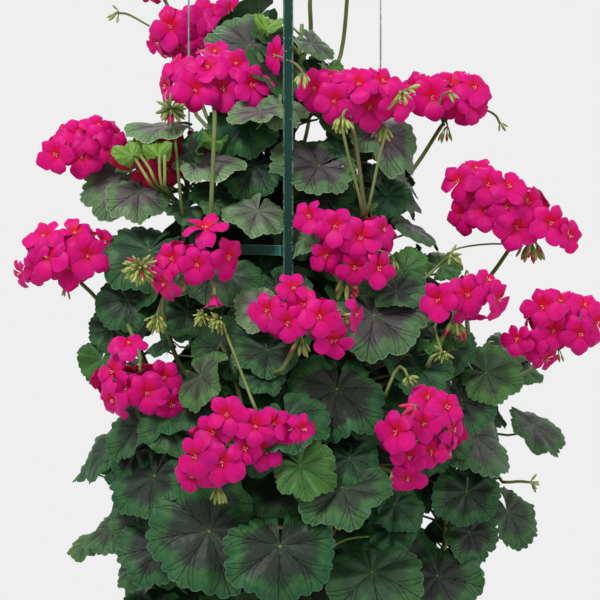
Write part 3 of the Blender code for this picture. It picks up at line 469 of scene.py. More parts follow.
class Finish:
    """A material and its nodes; each call adds a node and hands back its output. In a socket's name an
    underline stands for a space."""

    def __init__(self, name, **sockets):
        self.material = bpy.data.materials.new(name)
        self.material.use_nodes = True
        self.tree = self.material.node_tree
        self.shader = self.tree.nodes["Principled BSDF"]
        for socket, value in sockets.items():
            self.shader.inputs[socket.replace("_", " ")].default_value = value

    def feed(self, socket, value):
        """Links an output to the socket, or sets the socket to a plain value."""
        if isinstance(value, bpy.types.NodeSocket):
            self.tree.links.new(value, socket)
        else:
            socket.default_value = value

    def node(self, kind, inputs=(), **settings):
        """A new node of the kind, with its settings made and its sockets fed."""
        node = self.tree.nodes.new(kind)
        for key, value in settings.items():
            setattr(node, key, value)
        for key, value in dict(inputs).items():
            self.feed(node.inputs[key], value)
        return node

    def math(self, operation, a, b=0.0, c=0.0):
        """The result of one operation on up to three values."""
        return self.node("ShaderNodeMath", {0: a, 1: b, 2: c}, operation=operation).outputs[0]

    def plus(self, a, b):
        """a + b."""
        return self.math("ADD", a, b)

    def minus(self, a, b):
        """a - b."""
        return self.math("SUBTRACT", a, b)

    def times(self, a, b):
        """a * b."""
        return self.math("MULTIPLY", a, b)

    def step(self, value, low, high, start=0.0, end=1.0):
        """A soft step from start to end as the value goes from low to high."""
        inputs = {"Value": value, "From Min": low, "From Max": high, "To Min": start, "To Max": end}
        return self.node("ShaderNodeMapRange", inputs, interpolation_type="SMOOTHSTEP").outputs["Result"]

    def mix(self, share, a, b):
        """Colour a, less its share, and colour b, by its share."""
        node = self.tree.nodes.new("ShaderNodeMix")
        node.data_type = "RGBA"
        self.feed(node.inputs[0], share)
        self.feed(node.inputs[6], a)
        self.feed(node.inputs[7], b)
        return node.outputs[2]

    def place(self):
        """The point's place in metres."""
        return self.node("ShaderNodeTexCoord").outputs["Object"]

    def stretched(self, scale):
        """The point's place with each of its three ways scaled, so that a pattern read there is stretched."""
        return self.node("ShaderNodeMapping", {"Vector": self.place(), "Scale": scale}).outputs[0]

    def noise(self, scale, detail=2.0, rough=0.5, at=None):
        """Cloudy noise between 0 and 1, read at the point's own place or at another one."""
        inputs = {"Vector": self.place() if at is None else at, "Scale": scale, "Detail": detail,
                  "Roughness": rough}
        return self.node("ShaderNodeTexNoise", inputs).outputs["Fac"]

    def cells(self, scale, feature="F1"):
        """A cell pattern: the distance from the point to the nearest seed."""
        inputs = {"Vector": self.place(), "Scale": scale}
        return self.node("ShaderNodeTexVoronoi", inputs, feature=feature).outputs["Distance"]

    def map_uv(self):
        """The two coordinates of the surface's own flat map."""
        blade = self.node("ShaderNodeUVMap", uv_map="blade").outputs[0]
        split = self.node("ShaderNodeSeparateXYZ", {0: blade})
        return split.outputs[0], split.outputs[1]

    def tone(self):
        """The four numbers that the piece carries for its finish."""
        node = self.node("ShaderNodeAttribute", attribute_name="tone")
        split = self.node("ShaderNodeSeparateColor", {0: node.outputs["Color"]})
        return split.outputs[0], split.outputs[1], split.outputs[2], node.outputs["Alpha"]

    def bump(self, height, strength, distance):
        inputs = {"Height": height, "Strength": strength, "Distance": distance}
        return self.node("ShaderNodeBump", inputs).outputs[0]

    def finish(self, colour, rough, normal, metal=None):
        """Feeds the shader and hands back the material; what is None keeps its plain value."""
        sockets = {"Base Color": colour, "Roughness": rough, "Normal": normal, "Metallic": metal}
        for socket, value in sockets.items():
            if value is not None:
                self.feed(self.shader.inputs[socket], value)
        return self.material


def leaf_finish():
    """Green rim, a dark zone round the junction, a main vein in each lobe with three forks, soft hairy sheen
    that is painted into the colour as paleness, and a painted highlight along the edge. The tone's numbers
    are paleness (painted sheen of the top light), strength of the zone, youth, and whether the face is the
    underside."""
    f = Finish("zoned_leaf", Roughness=0.5, Specular_IOR_Level=0.22)
    u, v = f.map_uv()
    pale, zone_strength, youth, underside = f.tone()
    lobe = f.math("FRACT", f.times(u, float(LOBES)))
    off = f.math("ABSOLUTE", f.minus(lobe, 0.5))
    mottle = f.noise(42.0, 4.0, 0.6)
    fine = f.noise(330.0, 3.0, 0.65)
    wobble = f.times(f.minus(mottle, 0.5), 0.070)
    # Veins: each is a line in the map, offset from the lobe's middle by its slope times the reach past its
    # fork.
    arc = f.times(f.plus(off, f.times(wobble, 0.4)), v)
    veins = f.times(f.step(arc, 0.013, 0.003), f.step(v, 0.03, 0.14))
    for fork, slope, weight in ((0.26, 0.50, 0.80), (0.52, 0.60, 0.75), (0.74, 0.55, 0.50)):
        line = f.times(f.minus(v, fork), slope)
        gap = f.times(f.math("ABSOLUTE", f.minus(f.plus(off, wobble), line)), v)
        branch = f.times(f.step(gap, 0.010, 0.002), f.step(v, fork, fork + 0.05))
        veins = f.math("MAXIMUM", veins, f.times(branch, weight))
    # Zone: it ends where the reach, roughened by noise and less along the veins, passes about seven tenths.
    border = f.plus(v, f.times(f.minus(f.noise(60.0, 4.0, 0.65), 0.5), 0.62))
    border = f.plus(border, f.times(off, 0.16))
    zone = f.times(f.step(border, 0.86, 0.58), zone_strength)
    zone = f.times(zone, f.minus(1.0, f.times(underside, 0.85)))
    glow = f.times(f.step(border, 0.66, 0.78), f.step(border, 1.04, 0.84))
    green = f.mix(mottle, paint(8, 53, 33), paint(42, 106, 65))
    green = f.mix(f.times(glow, 0.28), green, paint(82, 122, 46))
    young = f.mix(mottle, paint(38, 100, 26), paint(104, 156, 58))
    green = f.mix(youth, green, young)
    green = f.mix(f.step(youth, 0.85, 1.0), green, f.mix(mottle, paint(78, 134, 34), paint(146, 186, 76)))
    # Paleness is painted top light: the leaves that face the light are painted paler and greyer, zone and
    # all.
    green = f.mix(f.times(pale, 0.85), green, f.mix(mottle, paint(84, 120, 70), paint(152, 178, 134)))
    dark = f.mix(mottle, paint(20, 27, 21), paint(52, 58, 50))
    dark = f.mix(f.times(pale, 0.9), dark, f.mix(mottle, paint(84, 74, 80), paint(146, 134, 142)))
    colour = f.mix(f.times(zone, 0.95), green, dark)
    vein_dark = f.mix(zone, paint(10, 34, 20), paint(14, 14, 16))
    vein_dark = f.mix(youth, vein_dark, paint(40, 84, 20))
    vein_colour = f.mix(f.step(v, 0.20, 0.07), vein_dark, paint(112, 140, 60))
    colour = f.mix(f.times(veins, 0.78), colour, vein_colour)
    colour = f.mix(f.times(f.step(v, 0.040, 0.018), 0.8), colour, paint(128, 152, 66))
    # Painted highlight: a paler line along the leaf's edge, stronger on the leaves painted paler.
    rim = f.times(f.step(v, 0.970, 0.994), f.math("MULTIPLY_ADD", pale, 0.45, 0.36))
    colour = f.mix(rim, colour, f.mix(pale, paint(104, 146, 98), paint(190, 204, 166)))
    under = f.mix(veins, f.mix(mottle, paint(50, 84, 54), paint(76, 112, 70)), paint(108, 140, 84))
    colour = f.mix(underside, colour, under)
    colour = f.mix(f.step(fine, 0.30, 0.75, 0.0, 0.34), colour, f.mix(0.62, colour, paint(8, 16, 10)))
    hairs = f.step(f.noise(760.0, 2.0, 0.7), 0.56, 0.72)
    flecks = f.times(hairs, f.step(mottle, 0.35, 0.65, 0.10, 0.40))
    colour = f.mix(flecks, colour, f.mix(pale, paint(96, 132, 88), paint(176, 186, 160)))
    rough = f.step(fine, 0.2, 0.8, 0.42, 0.58)
    blister = f.cells(170.0, "SMOOTH_F1")
    height = f.plus(f.times(veins, -1.0), f.times(blister, -0.6))
    height = f.plus(height, f.times(fine, 0.15))
    return f.finish(colour, rough, f.bump(height, 0.8, 0.0012))


def stalk_finish():
    """Stalks and stems: yellow-green when young, browner with age, fine ribs along them and short hairs. The
    tone's numbers are age, chance, and how far the stalk is a darker green."""
    f = Finish("green_stalk", Roughness=0.55)
    age, chance, dark, _ = f.tone()
    u, _ = f.map_uv()
    patch = f.noise(60.0, 3.0, 0.6)
    colour = f.mix(patch, paint(92, 112, 50), paint(130, 148, 74))
    colour = f.mix(f.times(chance, 0.5), colour, paint(150, 166, 84))
    colour = f.mix(age, colour, f.mix(patch, paint(104, 84, 58), paint(128, 100, 66)))
    colour = f.mix(dark, colour, f.mix(patch, paint(44, 76, 40), paint(72, 102, 54)))
    ribs = f.math("SINE", f.times(u, 50.0))
    height = f.plus(f.times(ribs, 0.3), f.noise(900.0, 1.0))
    return f.finish(colour, f.step(patch, 0.3, 0.7, 0.48, 0.62), f.bump(height, 0.35, 0.0003))


def petal_finish():
    """Magenta petals: a red flame at the throat, longer on the upper two, fine veins that fan out, paler
    backs. The tone's numbers are flame, chance, how far painted shade turns the petal deep red, and whether
    this is its back."""
    f = Finish("magenta_petal", Roughness=0.5, Specular_IOR_Level=0.12, Subsurface_Weight=0.45,
               Subsurface_Scale=0.0025)
    u, v = f.map_uv()
    flame, chance, painted_shade, back = f.tone()
    fan = f.times(f.minus(u, 0.5), 15.0)
    ways = {0: fan, 1: f.times(v, 1.6), 2: f.times(chance, 9.0)}
    streak_at = f.node("ShaderNodeCombineXYZ", ways)
    streak = f.noise(1.0, 2.0, 0.5, at=streak_at.outputs[0])
    cloud = f.noise(90.0, 2.0, 0.5)
    colour = f.mix(cloud, paint(222, 8, 118), paint(237, 21, 141))
    colour = f.mix(f.times(f.step(streak, 0.48, 0.70), 0.55), colour, paint(188, 0, 88))
    colour = f.mix(f.times(chance, 0.30), colour, paint(210, 4, 94))
    colour = f.mix(f.times(f.step(v, 0.45, 0.92), 0.35), colour, paint(232, 23, 138))
    edge = f.math("MULTIPLY_ADD", flame, 0.22, 0.19)
    throat = f.step(f.minus(v, edge), 0.10, -0.16)
    colour = f.mix(f.times(throat, 0.85), colour, paint(222, 14, 42))
    colour = f.mix(f.times(back, 0.30), colour, paint(224, 62, 134))
    # Painted shade: the petal's colour is darkened to deep red where it stands in shade among the leaves.
    colour = f.mix(painted_shade, colour, f.mix(streak, paint(150, 14, 40), paint(180, 22, 50)))
    height = f.plus(streak, f.times(cloud, 0.5))
    return f.finish(colour, f.step(cloud, 0.3, 0.7, 0.42, 0.55), f.bump(height, 0.30, 0.0005))


def stamen_finish():
    """Stamens: red at the foot, cream towards the tip, with a fine grain."""
    f = Finish("pale_stamens", Roughness=0.5)
    _, v = f.map_uv()
    grain = f.noise(700.0, 2.0)
    cream = f.mix(grain, paint(230, 186, 140), paint(244, 222, 196))
    colour = f.mix(f.step(v, 0.35, 0.75), paint(214, 70, 60), cream)
    return f.finish(colour, None, f.bump(grain, 0.3, 0.0002))


def bud_finish():
    """Buds: yellow-green sepals with ribs, and a petal-coloured tip that grows as the bud ripens. The tone's
    numbers are ripeness, chance, and how far the sepals are a darker green."""
    f = Finish("flower_bud", Roughness=0.55)
    u, v = f.map_uv()
    ripe, chance, dark, _ = f.tone()
    ribs = f.math("SINE", f.times(u, 31.4))
    green = f.mix(f.noise(160.0, 2.0), paint(142, 164, 76), paint(196, 208, 122))
    green = f.mix(dark, green, f.mix(f.noise(160.0, 2.0), paint(56, 80, 42), paint(92, 114, 62)))
    green = f.mix(f.times(f.step(ribs, 0.3, 0.9), 0.35), green, paint(104, 122, 50))
    start = f.minus(1.05, f.times(ripe, 0.85))
    tip = f.step(f.minus(v, start), -0.05, 0.10)
    red = f.mix(chance, paint(206, 40, 58), paint(220, 18, 112))
    return f.finish(f.mix(tip, green, red), None, f.bump(ribs, 0.3, 0.0003))


def soil_finish():
    """Damp peat: dark crumbs, lighter fibres and a few pale grains."""
    f = Finish("potting_soil", Roughness=0.95)
    crumbs = f.noise(220.0, 4.0, 0.7)
    colour = f.mix(crumbs, paint(34, 25, 19), paint(78, 59, 43))
    fibre = f.noise(90.0, 2.0, 0.6, at=f.stretched((1.0, 6.0, 1.0)))
    colour = f.mix(f.times(f.step(fibre, 0.60, 0.70), 0.5), colour, paint(112, 84, 56))
    grains = f.cells(160.0)
    colour = f.mix(f.step(grains, 0.16, 0.10), colour, paint(190, 184, 170))
    return f.finish(colour, None, f.bump(f.plus(crumbs, f.times(grains, 0.6)), 0.8, 0.0030))


def pot_finish():
    """Moulded dark green plastic: faint flow lines down the wall, dull scuffs and splashes of dried soil."""
    f = Finish("pot_plastic", Roughness=0.45)
    flow = f.noise(60.0, 2.0, 0.5, at=f.stretched((1.0, 1.0, 0.06)))
    scuff = f.noise(35.0, 5.0, 0.65)
    colour = f.mix(flow, paint(26, 52, 42), paint(36, 64, 52))
    dust = f.step(scuff, 0.52, 0.72)
    colour = f.mix(f.times(dust, 0.35), colour, paint(112, 104, 86))
    colour = f.mix(f.step(f.cells(95.0), 0.13, 0.09), colour, paint(70, 54, 40))
    rough = f.step(scuff, 0.35, 0.70, 0.36, 0.66)
    return f.finish(colour, rough, f.bump(f.plus(flow, f.times(scuff, 0.4)), 0.25, 0.0008))


def green_steel_finish(name, dark, light, edge_width, unlit_edge_share):
    """Green enamel on steel, from dark to light: slight orange peel, a painted highlight along the edges,
    broken up by noise and drawn as pale metal, and small chips. edge_width is how wide the painted edge
    highlight is, and the higher the last argument is, the more of the edges go without it."""
    f = Finish(name, Roughness=0.4, Specular_IOR_Level=0.16)
    round_normal = f.node("ShaderNodeBevel", {"Radius": edge_width}, samples=4).outputs[0]
    flat_normal = f.node("ShaderNodeNewGeometry").outputs["Normal"]
    match = f.node("ShaderNodeVectorMath", {0: round_normal, 1: flat_normal}, operation="DOT_PRODUCT")
    match = match.outputs["Value"]
    edge_breakup = f.noise(170.0, 4.0, 0.7)
    # Painted highlight: a pale line along the edges, where the light would catch them, broken up by noise.
    edge = f.times(f.step(match, 0.985, 0.90), f.step(edge_breakup, unlit_edge_share, unlit_edge_share + 0.12))
    peel = f.noise(420.0, 2.0, 0.5)
    cloud = f.noise(24.0, 3.0, 0.6)
    colour = f.mix(cloud, dark, light)
    specks = f.times(f.step(f.cells(260.0), 0.20, 0.12), f.step(f.noise(40.0, 2.0), 0.50, 0.60))
    # The painted edge highlight and the chips share one pale, half metallic colour.
    edge_glint_and_chips = f.math("MAXIMUM", f.times(edge, 0.90), f.times(specks, 0.6))
    colour = f.mix(edge_glint_and_chips, colour, paint(196, 210, 202))
    rough = f.step(cloud, 0.3, 0.7, 0.32, 0.46)
    return f.finish(colour, rough, f.bump(peel, 0.12, 0.0004), f.times(edge_glint_and_chips, 0.5))


def galvanised_finish():
    """Zinc-coated wire: blotchy grey spangle with fine drawing lines."""
    f = Finish("galvanised_wire", Roughness=0.38, Metallic=1.0)
    spangle = f.cells(320.0)
    draw = f.noise(400.0, 2.0, 0.6, at=f.stretched((1.0, 1.0, 0.08)))
    colour = f.mix(spangle, paint(132, 138, 138), paint(186, 190, 190))
    colour = f.mix(f.times(f.step(draw, 0.55, 0.75), 0.5), colour, paint(104, 108, 106))
    return f.finish(colour, f.step(draw, 0.3, 0.7, 0.30, 0.50), f.bump(draw, 0.2, 0.0002))


def floor_finish():
    """A pale matt floor of about the backdrop's tone."""
    f = Finish("pale_floor", Roughness=0.9)
    grain = f.noise(30.0, 3.0, 0.5)
    colour = f.mix(grain, paint(232, 232, 231), paint(238, 238, 237))
    return f.finish(colour, None, f.bump(grain, 0.05, 0.001))


LEAF = leaf_finish()
STALK = stalk_finish()
PETAL = petal_finish()
STAMEN = stamen_finish()
BUD = bud_finish()
SOIL = soil_finish()
POT = pot_finish()
GREEN_STEEL = green_steel_finish("green_painted_steel", paint(12, 50, 42), paint(22, 64, 54), 0.0009, 0.40)
# The bars get a lighter copy of the same green paint: painted light that makes up for the shade they stand
# in, with a wider and steadier painted highlight along their edges.
GREEN_STEEL_PAINTED_LIGHTER = green_steel_finish("green_steel_with_painted_light", paint(30, 98, 84), paint(44, 120, 104), 0.0014, 0.15)
GALVANISED = galvanised_finish()


# ---- places on the plant ----
def seen(x, z, depth):
    """The point at a given depth that the eye sees over the place (x, z) of the upright plane through the
    hook."""
    flat = np.array((x, 0.0, z))
    way = flat - EYE
    return EYE + way * (depth - EYE[1]) / way[1]


def read_table(table, height, columns):
    """Values of a table's columns at a height, straight between its rows."""
    return [np.interp(-height, -table[:, 0], table[:, k]) for k in columns]


def canopy_reach(height, azimuth):
    """How far the foliage reaches from the axis: the radius of the ellipse whose half axes are the table's
    reaches at that height, towards the quadrant that the azimuth points to."""
    left, right, front, back = read_table(CANOPY, height, (1, 2, 3, 4))
    c, s = math.cos(azimuth), math.sin(azimuth)
    wide = right if c > 0 else left
    deep = back if s > 0 else front
    return 1.0 / math.sqrt((c / wide) ** 2 + (s / deep) ** 2)


def front_face(x, z):
    """Depth of the foliage's front at a place of the front view, on the same ellipse."""
    left, right, front = read_table(CANOPY, z, (1, 2, 3))
    share = min(abs(x) / (right if x > 0 else left), 1.0)
    return -front * math.sqrt(1.0 - share ** 2)


def stem_knots(name):
    """The points that a main stem passes through, from the two over its foot up."""
    (x, y), upper, _, _ = STEMS[name]
    return [(x, y, z) for z in STEM_FOOT] + list(upper)


def trailer_knots(name):
    """The points that a trailing shoot passes through, all at its azimuth."""
    around = math.radians(TRAILERS[name])
    return [(r * math.cos(around), r * math.sin(around), z) for r, z in TRAILER_PATH]


LINE_POINTS = 40
STEM_LINES = {name: smooth_path(stem_knots(name), LINE_POINTS) for name in STEMS}
TRAILER_LINES = {name: smooth_path(trailer_knots(name), LINE_POINTS) for name in TRAILERS}
WOOD_POINTS = np.vstack([*STEM_LINES.values(), *TRAILER_LINES.values()])


def nearest_stem(place, below=0.020):
    """The point of the stems that a stalk from this place would spring from: the nearest one somewhat below
    it, where each metre above that counts for one and a half more."""
    gap = np.linalg.norm(WOOD_POINTS - place, axis=1)
    gap = gap + 1.5 * np.maximum(WOOD_POINTS[:, 2] - (place[2] - below), 0.0)
    return WOOD_POINTS[int(np.argmin(gap))]


SHOOT_NODES = [n for n in sorted(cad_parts) if n.startswith(("leafy_shoot", "trailing_shoot"))]
SHOOT_CENTRES = np.array([np.mean(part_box(n), axis=0) for n in SHOOT_NODES])
SHOOT_PIECES = {n: Piece("leaves_of_" + n) for n in SHOOT_NODES}


def owner(place):
    """The shoot that a leaf at this place belongs to: the one whose middle is nearest."""
    return SHOOT_PIECES[SHOOT_NODES[int(np.argmin(np.linalg.norm(SHOOT_CENTRES - place, axis=1)))]]


# ---- the leaves that show from the front ----
# Each leaf: x and z of its junction, how far it lies behind the foliage's front, its radius, the share of its
# height that shows (1 faces the viewer), lean of its short axis from upright, direction of its tip (0 is
# right, 90 is up), paleness (painted sheen of the top light), strength of its zone, youth.
FRONT_LEAVES = (
    # crown
    (-0.038, -0.236, 0.030, 0.050, 0.70, 0, 135, 0.30, 1.00, 0.00),
    (-0.022, -0.220, 0.012, 0.021, 0.80, 0, 60, 0.10, 0.00, 1.00),
    (0.023, -0.234, 0.020, 0.028, 0.48, 33, 326, 0.55, 0.70, 0.10),
    (0.042, -0.258, 0.020, 0.015, 0.60, 20, 300, 0.10, 0.00, 0.80),
    (-0.026, -0.302, 0.010, 0.034, 0.50, -10, 212, 0.90, 0.90, 0.00),
    (-0.007, -0.298, 0.012, 0.027, 0.80, 0, 250, 0.75, 0.25, 0.10),
    (0.010, -0.301, 0.020, 0.015, 0.60, 0, 320, 0.85, 0.20, 0.00),
    (-0.042, -0.312, 0.034, 0.042, 0.90, 0, 230, 0.00, 0.30, 0.00),
    (-0.032, -0.356, 0.036, 0.040, 0.85, 0, 240, 0.00, 0.80, 0.00),
    (-0.085, -0.350, 0.014, 0.045, 0.48, 0, 352, 1.00, 1.00, 0.00),
    (-0.096, -0.343, -0.004, 0.026, 0.50, -80, 102, 0.00, 1.00, 0.00),
    (-0.076, -0.331, 0.020, 0.019, 0.80, 0, 110, 0.10, 0.00, 0.90),
    (-0.101, -0.398, 0.016, 0.023, 0.60, 0, 195, 0.05, 0.60, 0.10),
    (-0.072, -0.380, 0.034, 0.028, 0.80, 0, 260, 0.00, 0.80, 0.00),
    (-0.075, -0.394, 0.012, 0.014, 0.80, 0, 230, 0.20, 0.20, 0.30),
    (-0.030, -0.401, 0.010, 0.036, 0.66, 8, 248, 0.85, 0.70, 0.00),
    (-0.062, -0.406, 0.020, 0.021, 0.70, 0, 250, 0.10, 0.20, 0.10),
    (0.031, -0.356, 0.012, 0.052, 0.62, 8, 190, 0.48, 1.40, 0.00),
    (0.034, -0.382, 0.032, 0.036, 0.80, 0, 250, 0.00, 1.00, 0.00),
    (0.050, -0.340, 0.022, 0.024, 0.70, 0, 60, 0.10, 0.30, 0.00),
    (0.091, -0.323, 0.010, 0.054, 0.50, 34, 322, 0.48, 1.40, 0.00),
    (0.099, -0.384, 0.024, 0.028, 0.85, 0, 300, 0.00, 0.30, 0.00),
    (0.055, -0.363, 0.000, 0.011, 0.70, 0, 120, 0.10, 0.00, 0.90),
    (0.064, -0.368, -0.004, 0.009, 0.70, 0, 50, 0.10, 0.00, 0.80),
    (0.124, -0.417, 0.018, 0.035, 0.22, 35, 325, 0.35, 1.00, 0.00),
    (0.117, -0.458, 0.006, 0.027, 0.80, 0, 78, 0.15, 0.10, 0.45),
    (0.153, -0.456, 0.008, 0.025, 0.70, 0, 40, 0.10, 0.20, 0.40),
    (0.082, -0.396, 0.004, 0.009, 0.60, 0, 90, 0.10, 0.00, 0.60),
    (0.016, -0.428, -0.004, 0.025, 0.62, -38, 236, 0.50, 0.20, 0.30),
    (-0.020, -0.420, 0.085, 0.026, 0.80, 0, 250, 0.00, 0.20, 0.00),
    (-0.026, -0.462, 0.075, 0.032, 0.80, 0, 300, 0.05, 0.30, 0.00),
    (-0.058, -0.465, 0.020, 0.034, 0.80, 0, 300, 0.15, 0.60, 0.00),
    # left shoulder
    (-0.120, -0.317, 0.012, 0.043, 0.24, -3, 186, 0.95, 0.80, 0.00),
    (-0.155, -0.346, -0.034, 0.024, 0.80, -12, 128, 0.10, 0.00, 1.00),
    (-0.130, -0.346, -0.030, 0.021, 0.80, 5, 92, 0.10, 0.00, 1.00),
    (-0.161, -0.356, 0.012, 0.012, 0.80, 0, 200, 0.10, 0.20, 0.30),
    (-0.164, -0.366, 0.018, 0.051, 0.70, -22, 204, 0.50, 1.00, 0.00),
    (-0.148, -0.381, 0.002, 0.039, 0.76, 0, 266, 0.70, 0.95, 0.00),
    (-0.138, -0.440, 0.014, 0.050, 0.76, 0, 214, 0.05, 0.50, 0.00),
    (-0.160, -0.490, 0.014, 0.035, 0.92, -15, 232, 0.05, 0.70, 0.00),
    (-0.176, -0.518, 0.024, 0.027, 0.85, -15, 205, 0.05, 0.60, 0.10),
    (-0.186, -0.549, 0.008, 0.028, 0.90, -25, 246, 0.05, 0.10, 0.50),
    (-0.100, -0.502, 0.028, 0.030, 0.85, 0, 250, 0.00, 0.70, 0.00),
    (-0.125, -0.535, 0.030, 0.020, 0.35, -15, 200, 0.00, 0.80, 0.00),
    # middle
    (-0.078, -0.462, 0.018, 0.048, 0.60, 0, 262, 0.30, 0.80, 0.00),
    (-0.026, -0.499, 0.010, 0.031, 0.78, -15, 200, 0.95, 0.80, 0.00),
    (-0.032, -0.528, 0.020, 0.029, 0.85, 0, 215, 0.05, 0.50, 0.00),
    (-0.088, -0.566, 0.004, 0.041, 0.50, -54, 326, 0.25, 0.80, 0.45),
    (-0.072, -0.577, 0.012, 0.019, 0.75, 0, 232, 0.10, 0.20, 0.35),
    (-0.056, -0.552, 0.016, 0.022, 0.80, 0, 262, 0.05, 0.40, 0.10),
    (-0.020, -0.540, 0.014, 0.038, 0.62, 0, 262, 0.05, 0.80, 0.00),
    (-0.025, -0.566, 0.010, 0.026, 0.70, 0, 250, 0.05, 0.60, 0.00),
    (-0.002, -0.609, -0.006, 0.046, 0.74, 0, 292, 0.02, 0.50, 0.00),
    (0.049, -0.579, 0.016, 0.058, 0.88, 0, 262, 0.00, 1.60, 0.00),
    (0.086, -0.505, 0.010, 0.059, 0.68, 0, 322, 0.30, 1.50, 0.00),
    (0.108, -0.481, -0.004, 0.034, 0.56, 0, 345, 0.10, 0.90, 0.00),
    (0.080, -0.610, 0.014, 0.026, 0.90, 0, 280, 0.05, 0.40, 0.00),
    (0.130, -0.558, 0.012, 0.036, 0.75, 0, 312, 0.05, 0.30, 0.00),
    (0.157, -0.535, 0.030, 0.034, 0.85, 0, 300, 0.00, 0.80, 0.00),
    (0.062, -0.648, 0.012, 0.032, 0.80, 0, 290, 0.00, 0.60, 0.00),
    (0.012, -0.642, 0.018, 0.030, 0.80, 0, 250, 0.00, 0.60, 0.00),
    # right
    (0.198, -0.563, -0.012, 0.038, 0.86, 12, 338, 0.15, 0.60, 0.45),
    (0.215, -0.536, 0.014, 0.031, 0.45, 20, 338, 0.20, 0.30, 0.15),
    (0.236, -0.559, 0.012, 0.024, 0.52, 25, 320, 0.20, 0.30, 0.10),
    (0.174, -0.590, 0.022, 0.040, 0.85, 8, 292, 0.05, 1.00, 0.00),
    (0.144, -0.536, -0.012, 0.015, 0.60, 0, 165, 0.00, 0.10, 0.55),
    (0.164, -0.534, -0.012, 0.014, 0.60, 0, 20, 0.00, 0.10, 0.55),
    (0.245, -0.616, -0.002, 0.042, 0.40, 40, 312, 0.25, 0.90, 0.00),
    (0.186, -0.626, 0.004, 0.050, 0.55, 42, 320, 0.25, 0.90, 0.00),
    (0.159, -0.628, 0.014, 0.030, 0.80, 0, 262, 0.00, 0.40, 0.00),
    (0.179, -0.682, 0.000, 0.039, 0.92, 0, 262, 0.05, 0.80, 0.00),
    (0.220, -0.702, 0.002, 0.040, 0.66, 48, 300, 0.15, 0.80, 0.05),
    (0.182, -0.723, 0.008, 0.034, 0.78, 18, 300, 0.10, 1.00, 0.00),
    (0.150, -0.767, 0.004, 0.046, 0.82, 0, 300, 0.10, 1.00, 0.00),
    (0.107, -0.695, 0.016, 0.031, 0.80, 0, 262, 0.00, 0.40, 0.00),
    (0.136, -0.648, 0.018, 0.026, 0.80, 0, 275, 0.00, 0.40, 0.00),
    (0.104, -0.721, 0.020, 0.028, 0.80, 0, 262, 0.00, 0.50, 0.00),
    (0.192, -0.645, 0.026, 0.030, 0.85, 0, 280, 0.00, 0.80, 0.00),
    # lower front
    (0.084, -0.763, -0.008, 0.058, 0.80, 0, 282, 0.10, 0.45, 0.05),
    (0.054, -0.678, -0.002, 0.055, 0.64, 0, 290, 0.12, 0.80, 0.05),
    (0.012, -0.656, -0.012, 0.039, 0.93, 0, 332, 0.10, 0.10, 0.60),
    (-0.008, -0.737, -0.014, 0.060, 0.92, 0, 268, 0.00, 1.00, 0.00),
    (-0.079, -0.722, -0.006, 0.066, 0.93, 0, 236, 0.02, 1.00, 0.00),
    (-0.152, -0.642, 0.012, 0.034, 0.60, -30, 226, 0.00, 1.00, 0.00),
    (-0.148, -0.615, 0.002, 0.042, 0.60, -48, 228, 0.00, 0.80, 0.00),
    (-0.182, -0.641, 0.008, 0.040, 0.40, -46, 224, 0.00, 0.70, 0.00),
    (-0.201, -0.659, 0.004, 0.020, 0.34, -44, 226, 0.10, 0.40, 0.10),
    (-0.163, -0.652, 0.018, 0.028, 0.80, -20, 235, 0.00, 0.70, 0.00),
    (-0.134, -0.666, 0.000, 0.050, 0.60, -42, 224, 0.00, 1.00, 0.00),
    (-0.152, -0.706, 0.004, 0.036, 0.64, -40, 226, 0.10, 0.90, 0.05),
    (-0.176, -0.718, 0.002, 0.036, 0.50, -30, 212, 0.15, 0.70, 0.15),
    (-0.200, -0.733, 0.000, 0.025, 0.40, -28, 208, 0.20, 0.30, 0.35),
    (-0.128, -0.738, 0.002, 0.046, 0.80, -22, 236, 0.05, 1.00, 0.00),
    (-0.154, -0.760, 0.000, 0.026, 0.46, -40, 222, 0.10, 0.30, 0.20),
    (-0.118, -0.618, 0.010, 0.032, 0.88, 0, 236, 0.10, 0.40, 0.20),
    (-0.142, -0.722, 0.014, 0.026, 0.70, -30, 238, 0.10, 0.30, 0.15),
    (-0.118, -0.690, 0.016, 0.030, 0.85, 0, 240, 0.00, 0.40, 0.00),
    (0.000, -0.806, 0.004, 0.044, 0.85, 0, 265, 0.05, 0.90, 0.00),
    (0.070, -0.822, 0.006, 0.042, 0.85, 0, 280, 0.05, 0.90, 0.00),
    (-0.070, -0.812, 0.006, 0.044, 0.85, 0, 255, 0.05, 0.90, 0.00),
    (-0.133, -0.800, 0.006, 0.036, 0.85, -20, 240, 0.05, 0.90, 0.00),
    (0.137, -0.815, 0.006, 0.038, 0.85, 15, 290, 0.05, 0.90, 0.00),
)

# A leaf that shows less than this share is seen nearly edge on, and is flatter than the others.
EDGE_ON = 0.5


